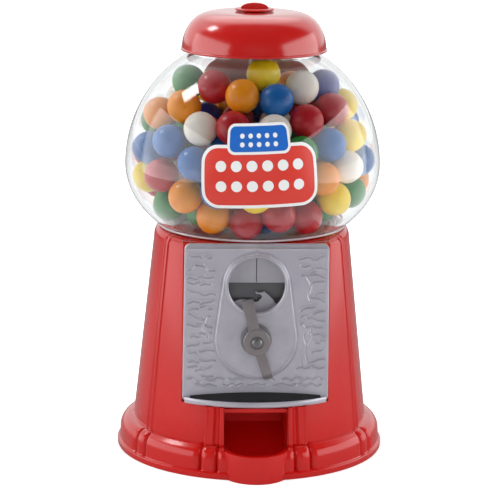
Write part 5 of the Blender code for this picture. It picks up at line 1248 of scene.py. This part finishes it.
# Globe and gumballs
@dataclass
class Globe:
    """Clear globe with a foot ring and a neck, and the plaque printed on its front."""

    radius: float = 0.0612
    equator: float = 0.1390
    lower: float = 0.0426
    upper: float = 0.0615
    wall: float = 0.0020
    foot: float = 0.108
    foot_radius: float = 0.0427
    rise: float = 0.1093
    neck_radius: float = 0.0310
    neck_top: float = 0.1995
    plaque_height: float = 0.1438
    plaque_lean: float = 2.0
    floor: float = 0.1100
    foot_inner: float = 0.0402
    highlight_bead_radius: float = 0.0006
    disc_radius: float = 0.0025
    dot_radius: float = 0.0011
    disc_lift: float = 0.00014
    dot_lift: float = 0.00026
    ink_thick: float = 0.00004

    # Printed sheets: name, half width and height, corner radius, middle, lift off the globe and ink
    sheets: tuple[tuple[str, Point2, float, Point2, float, Finish], ...] = (
        ("plaque_border", (0.0274, 0.0146), 0.0075, (0, 0.1432), 0.00002, Finish.PRINT_WHITE),
        ("plaque_field", (0.0259, 0.0131), 0.0062, (0, 0.1432), 0.00008, Finish.PRINT_RED),
        ("plaque_band_border", (0.0152, 0.0068), 0.0036, (0, 0.1602), 0.00014, Finish.PRINT_WHITE),
        ("plaque_band", (0.0140, 0.0056), 0.0026, (0, 0.1602), 0.00020, Finish.PRINT_BLUE),
        ("back_sheet", (0.0385, 0.0098), 0.0045, (-0.0065, 0.1765), 0.00006, Finish.LABEL))

    def curve(self, inset: float, low: float, end_radius: float) -> list[Point2]:
        """Side of the globe, moved in by an inset.

        Args:
            inset: How far in it lies from the outside.
            low: Height that it starts at.
            end_radius: Radius that it ends at, where the neck begins.

        Returns:
            Radius and height of each point.
        """
        radius, lower, upper = self.radius - inset, self.lower - inset, self.upper - inset
        start = math.asin((low - self.equator) / lower)
        end = math.acos(end_radius / radius)
        turns = [(start * (1 - i / 20), lower) for i in range(20)]
        turns += [(end * i / 28, upper) for i in range(29)]
        return [(radius * math.cos(turn), self.equator + half * math.sin(turn)) for turn, half in turns]

    def surface_radius(self, height: float) -> float:
        """Outer radius of the globe.

        Args:
            height: Where it is taken.

        Returns:
            The radius there.
        """
        half = self.upper if height > self.equator else self.lower
        share = (height - self.equator) / half
        return self.radius * math.sqrt(max(0.0, 1 - share * share))

    def build(self) -> None:
        """Make the globe, the pale bead that paints its foot's highlight, and its plaque."""
        outer = self.curve(0.0, self.rise, self.neck_radius)
        inner = self.curve(self.wall, self.floor, self.neck_radius - self.wall)
        neck, top, foot = self.neck_radius, self.neck_top, self.foot_radius
        profile = [(foot - 0.0003, self.foot), (foot, self.foot + 0.0003), (foot, self.rise - 0.0002)] + outer
        profile += [(neck, top - 0.0004), (neck - 0.0004, top), (neck - self.wall, top)]
        profile += inner[::-1] + [(self.foot_inner, self.floor), (self.foot_inner, self.foot)]
        Shape.piece("globe_shell", Shape.spin(profile, 160), Finish.CLEAR, ("globe",), "clear_plastic")
        # Pale opaque bead at the globe's foot paints the bright highlight of the clear foot
        height = self.rise + 0.0009
        centre = (self.surface_radius(height) + 0.0001, height)
        bead = Shape.spin(Shape.arc(centre, self.highlight_bead_radius, 0, 2 * math.pi, 12)[:-1], 160)
        Shape.piece("globe_foot_highlight_bead", bead, Finish.EDGE, slot="clear_plastic")
        self.plaque()

    def plaque(self) -> None:
        """Print the plaque as thin layers that follow the globe, and lay a plain pink-maroon sheet at the
        back.
        """
        for name, half, corner, centre, lift, ink in self.sheets:
            self.layer(name, self.panel(half, corner), centre, lift, ink, name == "back_sheet")
        rounds = [(self.disc_radius, (0.0072 * place - 0.0180, height), self.disc_lift)
                  for place in range(6) for height in (0.1482, 0.1390)]
        rounds += [(self.dot_radius, (0.0040 * place - 0.0080, height), self.dot_lift)
                   for place in range(5) for height in (0.1578, 0.1616)]
        for number, (radius, centre, lift) in enumerate(rounds, start=1):
            self.layer(f"plaque_disc_{number}", self.disc(radius), centre, lift, Finish.PRINT_WHITE)

    @staticmethod
    def panel(half: Point2, corner: float) -> bmesh.types.BMesh:
        """Flat rounded rectangle, finely divided so that it can bend.

        Args:
            half: Half width and half height.
            corner: Radius of its corners.

        Returns:
            The sheet, flat in XY.
        """
        shape = bmesh.new()
        bmesh.ops.create_grid(shape, x_segments=56, y_segments=34, size=1.0)
        for vert in shape.verts:
            x, y = vert.co.x * half[0], vert.co.y * half[1]
            over, above = abs(x) - (half[0] - corner), abs(y) - (half[1] - corner)
            if over > 0 and above > 0:
                scale = min(1.0, max(over, above) / math.hypot(over, above))
                x = math.copysign(half[0] - corner + over * scale, x)
                y = math.copysign(half[1] - corner + above * scale, y)
            vert.co = Vector((x, y, 0))
        return shape

    @staticmethod
    def disc(radius: float) -> bmesh.types.BMesh:
        """Flat disc in rings, so that it can bend.

        Args:
            radius: Its radius.

        Returns:
            The sheet, flat in XY.
        """
        shape = bmesh.new()
        bmesh.ops.create_circle(shape, segments=40, radius=radius, cap_ends=True)
        for _ in range(3):
            face = max(shape.faces, key=lambda f: len(f.verts))
            bmesh.ops.inset_region(shape, faces=[face], thickness=radius * 0.24, use_even_offset=True)
        bmesh.ops.poke(shape, faces=[max(shape.faces, key=lambda f: len(f.verts))])
        return shape

    def layer(self, name: str, shape: bmesh.types.BMesh, centre: Point2, lift: float,
              ink: Finish, behind: bool = False) -> None:
        """Lay one printed layer on the globe.

        Args:
            name: The piece's name.
            shape: Its flat sheet.
            centre: Side and height of its middle.
            lift: How far it stands off the globe.
            ink: What it is printed with.
            behind: Whether it goes on the back.
        """
        lean = 0.0 if behind else math.radians(self.plaque_lean)
        hand = -1 if behind else 1
        for vert in shape.verts:
            dx, dz = centre[0] + vert.co.x, centre[1] + vert.co.y - self.plaque_height
            x = dx * math.cos(lean) - dz * math.sin(lean)
            z = self.plaque_height + dx * math.sin(lean) + dz * math.cos(lean)
            turn = x / self.radius
            radius = self.surface_radius(z) + lift
            vert.co = Vector((hand * radius * math.sin(turn), -hand * radius * math.cos(turn), z))
        bmesh.ops.recalc_face_normals(shape, faces=shape.faces)
        front = max(shape.faces, key=lambda f: -hand * f.calc_center_median().y)
        if front.normal.y * hand > 0:
            bmesh.ops.reverse_faces(shape, faces=shape.faces)
        bmesh.ops.solidify(shape, geom=shape.faces, thickness=self.ink_thick)
        Shape.piece(name, shape, ink, sharp=60.0)


@dataclass
class GumballHeap:
    """Loose gumballs in the globe: those at the glass in front are placed, the rest fall behind them."""

    globe: Globe
    radius: float = 0.00785
    skin_gap: float = 0.0004
    rod_radius: float = 0.0024
    low: float = 0.1097
    flat: float = 0.0285
    slope: float = 0.5
    crest: float = 0.0355
    loose: int = 120
    seed: int = 11
    reach: float = 0.72
    depth: float = 0.0210
    rise: float = 0.0350
    fall: float = 0.00012
    steps: int = 300
    touch: float = 0.0003
    free: float = 0.0001
    push: float = 0.8
    ease: float = 0.02
    falling: float = 0.7
    rounds: int = 3
    colour_seed: int = 5
    # Further out or higher than this, a gumball lies near the glass and gets finer facets
    near_flat: float = 0.030
    near_height: float = 0.165

    # Gumballs that the photograph shows: colour, degrees from the front and share of the globe's half height
    placed: tuple[tuple[Candy, float, float], ...] = (
        (Candy.GREEN, -74.6, 0.78), (Candy.RED, -37.0, 0.779), (Candy.YELLOW, 7.8, 0.886),
        (Candy.ORANGE, -11.7, 0.722), (Candy.BLUE, 13.0, 0.677), (Candy.CREAM, 40.4, 0.773),
        (Candy.NAVY, 72.0, 0.722), (Candy.YELLOW, 84.0, 0.576), (Candy.RED, 57.0, 0.566),
        (Candy.RED, 30.8, 0.488), (Candy.ORANGE, -80.8, 0.482), (Candy.ORANGE, -54.0, 0.593),
        (Candy.CREAM, -34.4, 0.437), (Candy.BLUE, -55.0, 0.291), (Candy.BLUE, -78.6, 0.172),
        (Candy.BLUE, -35.1, 0.135), (Candy.RED, -58.8, -0.04), (Candy.ORANGE, -42.0, -0.287),
        (Candy.GREEN, -64.5, -0.504), (Candy.ORANGE, -27.3, -0.572), (Candy.BLUE, -21.5, -0.155),
        (Candy.RED, -15.0, 0.46), (Candy.RED, -5.9, -0.597), (Candy.YELLOW, -1.4, -0.198),
        (Candy.RED, 13.2, -0.498), (Candy.RED, 33.8, -0.572), (Candy.YELLOW, 48.0, -0.349),
        (Candy.GREEN, 72.0, -0.34), (Candy.ORANGE, 35.0, -0.003), (Candy.CREAM, 54.6, 0.068),
        (Candy.BLUE, 42.5, 0.293), (Candy.YELLOW, 64.4, 0.332), (Candy.BLUE, 78.0, 0.059),
        (Candy.YELLOW, -86.0, -0.185), (Candy.ORANGE, 88.0, -0.247), (Candy.BLUE, 19.0, -0.037),
        (Candy.RED, 5.0, 0.195), (Candy.ORANGE, -10.5, 0.176), (Candy.CREAM, 9.0, 0.439),
        (Candy.GREEN, 23.0, 0.254))

    def inset(self) -> float:
        """Way from the globe's outside to the centre of a gumball that lies against its inside."""
        return self.globe.wall + self.skin_gap + self.radius

    def depth_share(self, spots: np.ndarray) -> np.ndarray:
        """Share of the way out to the skin of resting centres.

        Args:
            spots: Centres.

        Returns:
            One share for each.
        """
        inset = self.inset()
        rise = spots[:, 2] - self.globe.equator
        half = np.where(rise > 0, self.globe.upper, self.globe.lower) - inset
        return np.hypot(np.hypot(spots[:, 0], spots[:, 1]) / (self.globe.radius - inset), rise / half)

    def draw_in(self, spots: np.ndarray, share: np.ndarray) -> None:
        """Move centres towards the globe's middle.

        Args:
            spots: Centres, changed in place.
            share: How much of its way out each keeps.
        """
        spots[:, 0] *= share
        spots[:, 1] *= share
        spots[:, 2] = self.globe.equator + (spots[:, 2] - self.globe.equator) * share

    def laps(self, spots: np.ndarray) -> tuple[np.ndarray, np.ndarray]:
        """Find which gumballs lap.

        Args:
            spots: Centres.

        Returns:
            Direction from each gumball to each other, and how deep the two lap.
        """
        way = spots[:, None, :] - spots[None, :, :]
        far = np.sqrt((way ** 2).sum(axis=2)) + np.eye(len(spots))
        lap = np.clip(2 * self.radius - far, 0, None)
        np.fill_diagonal(lap, 0)
        return way / far[:, :, None], lap

    def anchors(self) -> np.ndarray:
        """Gumballs seen against the glass, eased apart along it until none laps another.

        Returns:
            Their centres.
        """
        inset = self.inset()
        spots = []
        for _, turn, share in self.placed:
            half = (self.globe.upper if share > 0 else self.globe.lower) - inset
            flat = (self.globe.radius - inset) * math.sqrt(1 - share * share)
            angle = math.radians(turn)
            spots.append((flat * math.sin(angle), -flat * math.cos(angle), self.globe.equator + half * share))
        start = np.array(spots)
        spots = start.copy()
        for _ in range(self.steps):
            way, lap = self.laps(spots)
            alone = lap.sum(axis=1) < self.free
            spots += (way * lap[:, :, None]).sum(axis=1) * self.push / 2
            spots += (start - spots) * self.ease * alone[:, None]
            self.draw_in(spots, 1 / self.depth_share(spots))
        return spots

    def contain(self, spots: np.ndarray) -> None:
        """Bring loose centres back inside the glass, off the rod, above the deck and below the crest.

        Args:
            spots: Centres, changed in place.
        """
        self.draw_in(spots, 1 / np.maximum(self.depth_share(spots), 1))
        flat = np.hypot(spots[:, 0], spots[:, 1])
        spots[:, :2] *= np.maximum((self.radius + self.rod_radius + self.skin_gap) / flat, 1)[:, None]
        slope = self.slope * np.maximum(flat - self.flat, 0)
        spots[:, 2] = np.maximum(spots[:, 2], self.low + self.radius + slope)
        spots[:, 2] = np.minimum(spots[:, 2], self.globe.equator + self.crest)

    def settle(self) -> np.ndarray:
        """Let the loose gumballs fall and push each other apart.

        Returns:
            Centres of all the gumballs, the placed ones first.
        """
        placed = self.anchors()
        held = len(placed)
        chance = np.random.default_rng(self.seed)
        turn = chance.uniform(0, 2 * math.pi, self.loose)
        flat = self.globe.radius * self.reach * np.sqrt(chance.uniform(0.04, 1, self.loose))
        height = self.globe.equator + chance.uniform(-self.depth, self.rise, self.loose)
        spots = np.concatenate((placed, np.stack((flat * np.cos(turn), flat * np.sin(turn), height), axis=1)))
        share = np.full((len(spots), len(spots)), 0.5)
        share[:, :held] = 1
        share[:held] = 0
        for step in range(self.steps):
            if step < self.steps * self.falling:
                spots[held:, 2] -= self.fall
            for _ in range(self.rounds):
                way, lap = self.laps(spots)
                spots += (way * (lap * share)[:, :, None]).sum(axis=1) * self.push
                self.contain(spots[held:])
        while True:
            _, lap = self.laps(spots)
            worst = (lap * (lap > self.touch)).sum(axis=1)
            worst[:held] = 0
            if worst.max() == 0:
                return spots
            spots = np.delete(spots, int(worst.argmax()), axis=0)

    def build(self) -> None:
        """Make one piece per candy colour."""
        spots = self.settle()
        chance = np.random.default_rng(self.colour_seed)
        palette = list(Candy)
        hues = [hue for hue, _, _ in self.placed]
        picks = chance.choice(len(palette), len(spots) - len(hues), p=[hue.value[2] for hue in palette])
        hues += [palette[i] for i in picks]
        for number, hue in enumerate(palette):
            shape = bmesh.new()
            for spot, colour in zip(spots, hues):
                if colour is not hue:
                    continue
                near_glass = math.hypot(spot[0], spot[1]) > self.near_flat or spot[2] > self.near_height
                fineness = 4 if near_glass else 3
                ball = bmesh.ops.create_icosphere(shape, subdivisions=fineness, radius=self.radius)
                lean = Matrix.Rotation(chance.uniform(0, 6.28), 4, Vector(chance.normal(size=3)).normalized())
                move = Matrix.Translation(Vector(spot)) @ lean
                bmesh.ops.transform(shape, matrix=move, verts=ball["verts"])
            finish = CandyShell(f"panned_sugar_{hue.name.lower()}", *hue.value[:2])
            stands_for = () if number else ("gumballs",)
            Shape.piece(f"gumballs_{hue.name.lower()}", shape, finish, stands_for, "candy", sharp=180.0)


# Lid
@dataclass
class Lid:
    """Domed lid with a rim bead, and the knob that screws onto the tie rod."""

    rim_low: float = 0.1934
    rim_radius: float = 0.0350
    bead: float = 0.0012
    wall_radius: float = 0.0343
    top: float = 0.2120
    wall: float = 0.0021
    seat: float = 0.1998
    neck: float = 0.0284
    rim_inner: float = 0.0314
    hole: float = 0.0051
    knob_flange: float = 0.0093
    knob_top: float = 0.2160
    knob_low: float = 0.2028
    knob_deep: float = 0.2098
    knob_bore: float = 0.0027
    knob_neck: float = 0.0048
    grip_half: float = 0.0066
    grip_thick: float = 0.0016

    def skin(self, inset: float) -> list[Point2]:
        """Side and top of the lid, moved in by an inset.

        Args:
            inset: How far in it lies from the outside.

        Returns:
            Radius and height of each point.
        """
        start = self.rim_low + 2 * self.bead
        rise = self.top - start
        points = []
        for i in range(31):
            angle = math.pi / 2 * i / 30
            c, s = math.cos(angle), math.sin(angle)
            radius = self.wall_radius * (0.30 + 0.70 * c ** 0.50) if i < 30 else self.wall_radius * 0.30
            height = start + rise * s ** 1.25
            points.append((radius - inset * c, height - inset * s))
        return points

    def build(self) -> None:
        """Make the lid and the knob."""
        seat, neck = self.seat, self.neck
        inner = [(min(r, neck), z) for r, z in self.skin(self.wall) if z > seat]
        half = self.bead / 2
        rim = [(self.rim_inner, self.rim_low), (self.rim_radius - 0.0005, self.rim_low)]
        middle = (self.rim_radius - half, self.rim_low + half + 0.0001)
        rim += Shape.arc(middle, half, -math.pi / 3, math.pi / 2, 6)
        rim += [(self.wall_radius + 0.0001, self.rim_low + 1.5 * self.bead)]
        profile = rim + self.skin(0.0) + [(self.hole, self.top), (self.hole, self.top - self.wall)]
        profile += inner[::-1] + [(neck, seat), (self.rim_inner, seat)]
        Shape.piece("lid_dome", Shape.spin(profile, 160), Finish.POLISHED, ("lid",), body="cap")
        self.knob()

    def knob(self) -> None:
        """Make the knob: a thin flange with a half-round grip standing on it."""
        seat = self.top + 0.0003
        flange = seat + 0.0011
        edge = Shape.arc((self.knob_flange - 0.0005, flange - 0.0005), 0.0005, -math.pi / 2, math.pi / 2, 6)
        bore, low, deep = self.knob_bore, self.knob_low, self.knob_deep
        base = Shape.spin([(bore, low), (self.knob_neck, low), (self.knob_neck, seat),
                           (self.knob_flange - 0.0006, seat)]
                          + edge + [(0, flange), (0, deep), (bore, deep)], 96)
        half, rise = self.grip_half, self.knob_top - flange
        fin = [(half, flange - 0.0004)]
        for angle in (math.pi * i / 28 for i in range(29)):
            fin.append((half * math.cos(angle), flange + rise * math.sin(angle)))
        fin.append((-half, flange - 0.0004))
        grip = Shape.bevel(Shape.slab(fin, -self.grip_thick, self.grip_thick), 0.0005, 3, 40.0)
        shape = Shape.together((base, Shape.to_front(grip)))
        Shape.piece("lid_knob_grip", shape, Finish.RED, ("lid_knob",), body="knob")


# Inner works
class InnerWorks:
    """CAD nodes that stay as they are and get their real finish."""

    plain: dict[Finish, tuple[str, ...]] = {
        Finish.RED: ("base_floor",),
        # The chute's red is painted brighter, as painted light for the deep throat
        Finish.CHUTE: ("ball_chute",),
        Finish.NYLON: ("hopper_deck", "ball_guard", "dispensing_wheel", "idler_gear"),
        Finish.BRASS: ("drive_pinion",),
        Finish.STOPPER: ("coin_plug",),
        Finish.GUIDE: ("coin_guide",),
        Finish.PRESSED: ("mech_housing", "center_rod"),
        Finish.PLATED: ("rod_nut", "handle_shaft", "shaft_clip", "ratchet_wheel", "idler_pin",
                       "coin_dog", "dog_pin", "dog_spring")
        + tuple(f"{kind}_screw_{i}" for kind in ("floor", "plate", "housing") for i in range(1, 5)),
    }

    def build(self) -> None:
        """Assign a finish to each node that shows as it is."""
        for finish, nodes in self.plain.items():
            for node in nodes:
                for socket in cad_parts[node].material_slots:
                    socket.material = finish.material()
                LOG.info("%s: %s", node, finish.value.name)


# Studio
@dataclass
class Studio:
    """White cyclorama: a table top, a bright backdrop that curves overhead, side panels and the camera."""

    aim: float = 0.096
    distance: float = 1.055
    azimuth: float = -3.3
    elevation: float = 12.385
    roll: float = 0.742
    focal: float = 156.5
    shift: float = -0.0028
    table_front: float = 0.45
    table_fade: float = 0.12
    table_dark: float = 0.03
    table_light: float = 0.82
    table_dull: float = 0.45
    through: float = 0.90
    contact: Point2 = (0.066, 0.105)
    contact_level: float = 0.5
    tent_edge: Point2 = (0.42, 0.72)
    ceiling: float = 0.85
    ceiling_edge: Point2 = (0.86, 0.97)
    room: float = 0.03
    diffuse: float = 0.44
    turned_back: float = 0.04

    # Lamps: name, place, size, radiance, and whether glossy and clear surfaces show them
    lamps: tuple[tuple[str, tuple[float, float, float], Point2, float, bool], ...] = (
        ("side_panel_left", (-0.66, -0.10, 0.22), (1.0, 0.55), 1.7, True),
        ("side_panel_right", (0.66, -0.10, 0.22), (1.0, 0.55), 1.8, True),
        ("key_box", (-0.673, 0.172, 0.87), (0.20, 0.20), 10.0, True),
        ("overhead_box", (0.0, -0.10, 1.25), (1.1, 0.8), 1.5, False),
        ("front_fill", (0.0, -1.25, 0.42), (0.9, 0.5), 1.65, False),
        ("low_fill", (0.0, -1.30, 0.14), (0.7, 0.26), 1.1, False))

    def table(self) -> bpy.types.Material:
        """Table's finish: it glows white for the camera and through the globe, less where the machine stands.

        Returns:
            The material, which is dark past the table's front edge, for reflections.
        """
        paint = Paint.start("painted_board_white", {
            "Roughness": 0.9, "Specular IOR Level": 0.1, "Emission Color": (1.0, 1.0, 1.0, 1.0)})
        tree, sockets = paint.tree, paint.shader.inputs
        along = add_node(tree, "ShaderNodeSeparateXYZ", links={0: paint.place})
        board = add_node(tree, RANGE, {
            "From Min": -self.table_front - self.table_fade, "From Max": -self.table_front,
            "To Min": self.table_dark, "To Max": self.table_light}, {"Value": along.outputs["Y"]})
        path = add_node(tree, "ShaderNodeLightPath").outputs
        dull = add_node(tree, RANGE, {"To Min": 1.0, "To Max": self.table_dull},
                        {"Value": path["Is Glossy Ray"]})
        add_node(tree, MATH, {".operation": "MULTIPLY"}, {0: board, 1: dull}, sockets["Base Color"])
        far = add_node(tree, VECTOR_MATH, {".operation": "LENGTH"}, {0: paint.place})
        glow = add_node(tree, RANGE, {
            "From Min": self.contact[0], "From Max": self.contact[1], "To Min": self.contact_level},
            {"Value": far})
        seen = add_node(tree, MATH, {".operation": "MULTIPLY_ADD", 1: self.through},
                        {0: path["Is Transmission Ray"], 2: path["Is Camera Ray"]})
        add_node(tree, MATH, {".operation": "MULTIPLY"}, {0: glow, 1: seen}, sockets["Emission Strength"])
        return paint.material

    def floor(self) -> None:
        """Lay the table."""
        shape = bmesh.new()
        bmesh.ops.create_grid(shape, x_segments=1, y_segments=1, size=6.0)
        mesh = Shape.mesh("studio_floor", shape)
        mesh.materials.append(self.table())
        thing = add_object("studio_floor", mesh)
        thing.location.z = -0.0002

    def world(self) -> None:
        """Backdrop light: white behind and overhead, dim towards the camera, even for diffuse light."""
        world = bpy.data.worlds.new("studio_dome")
        bpy.context.scene.world = world
        world.use_nodes = True
        tree = world.node_tree
        sockets = tree.nodes["Background"].inputs
        path = add_node(tree, "ShaderNodeLightPath").outputs
        way = add_node(tree, "ShaderNodeTexCoord").outputs["Generated"]
        towards = {name: add_node(tree, VECTOR_MATH, {".operation": "DOT_PRODUCT", 1: axis}, {0: way})
                   for name, axis in (("slope", (0.0, 1.0, 0.44)), ("height", (0.0, 0.616, 0.788)),
                                      ("back", (0.0, 1.0, 0.0)))}
        tent = add_node(tree, RANGE, {
            ".interpolation_type": "SMOOTHSTEP", "From Min": self.tent_edge[0],
            "From Max": self.tent_edge[1], "To Min": self.room}, {"Value": towards["slope"]})
        ceiling = add_node(tree, RANGE, {
            ".interpolation_type": "SMOOTHSTEP", "From Min": self.ceiling_edge[0],
            "From Max": self.ceiling_edge[1], "To Max": self.ceiling}, {"Value": towards["height"]})
        dome = add_node(tree, MATH, {".operation": "ADD"}, {0: tent, 1: ceiling})
        glossy = add_node(tree, "ShaderNodeMix", {"A": self.diffuse}, {
            "Factor": path["Is Glossy Ray"], "B": dome})
        # Through the globe the backdrop is a little dimmer, the more so the further off the back it lies
        straight = add_node(tree, RANGE, {
            "From Min": 0.2, "From Max": 0.9, "To Min": 0.5, "To Max": self.through},
            {"Value": towards["back"]})
        # Light mirrored inside the globe's wall comes back from the front, where the room is dark
        turned = add_node(tree, RANGE, {"From Min": -0.1, "From Max": 0.2, "To Min": self.turned_back},
                          {"Value": towards["back"]})
        bent = add_node(tree, MATH, {".operation": "MULTIPLY"}, {0: straight, 1: turned})
        clear = add_node(tree, "ShaderNodeMix", {}, {
            "Factor": path["Is Transmission Ray"], "A": glossy, "B": bent})
        add_node(tree, "ShaderNodeMix", {"B": 1.0}, {"Factor": path["Is Camera Ray"], "A": clear},
                 sockets["Strength"])
        sockets["Color"].default_value = (1.0, 1.0, 1.0, 1.0)

    @staticmethod
    def lamp(name: str, place: Sequence[float], size: Point2, radiance: float, mirrored: bool) -> None:
        """Soft box that faces the machine.

        Args:
            name: The lamp's name.
            place: Its middle.
            size: Width and height.
            radiance: How bright its face is, where the backdrop is one.
            mirrored: Whether glossy and clear surfaces show it.
        """
        light = bpy.data.lights.new(name, "AREA")
        light.shape = "RECTANGLE"
        light.size, light.size_y = size
        light.energy = radiance * math.pi * size[0] * size[1]
        thing = add_object(name, light)
        thing.location = place
        thing.rotation_euler = (Vector((0, 0, 0.11)) - Vector(place)).to_track_quat("-Z", "Y").to_euler()
        thing.visible_glossy = mirrored
        thing.visible_transmission = mirrored

    def camera(self) -> None:
        """Stand the camera where the photograph was taken from."""
        turn, lift = math.radians(self.azimuth), math.radians(self.elevation)
        target = Vector((0, 0, self.aim))
        place = target + self.distance * Vector((
            math.sin(turn) * math.cos(lift), -math.cos(turn) * math.cos(lift), math.sin(lift)))
        forward = (target - place).normalized()
        right = forward.cross(Vector((0, 0, 1))).normalized()
        upright = right.cross(forward)
        lean = math.radians(self.roll)
        up = upright * math.cos(lean) - right * math.sin(lean)
        right = forward.cross(up)
        lens = bpy.data.cameras.new("photo_camera")
        lens.lens = self.focal
        lens.sensor_width = 36.0
        lens.shift_x = self.shift
        lens.clip_start = 0.05
        thing = add_object("photo_camera", lens)
        basis = Matrix((right, up, -forward)).transposed()
        thing.matrix_world = Matrix.Translation(place) @ basis.to_4x4()
        bpy.context.scene.camera = thing

    def build(self) -> None:
        """Set up the whole studio."""
        bpy.context.scene.view_settings.view_transform = "Standard"
        self.floor()
        self.world()
        for lamp in self.lamps:
            self.lamp(*lamp)
        self.camera()


def main() -> None:
    """Dress the machine and set up the studio."""
    logging.basicConfig(level=logging.INFO, format="%(name)s %(message)s")
    globe = Globe()
    for part in (Pedestal(), CoinPlate(), Lever(), CoinWheel(), globe, GumballHeap(globe), Lid(),
                 InnerWorks(), Studio()):
        part.build()
        LOG.info("%s is done", type(part).__name__)


if __name__ == "__main__":
    main()
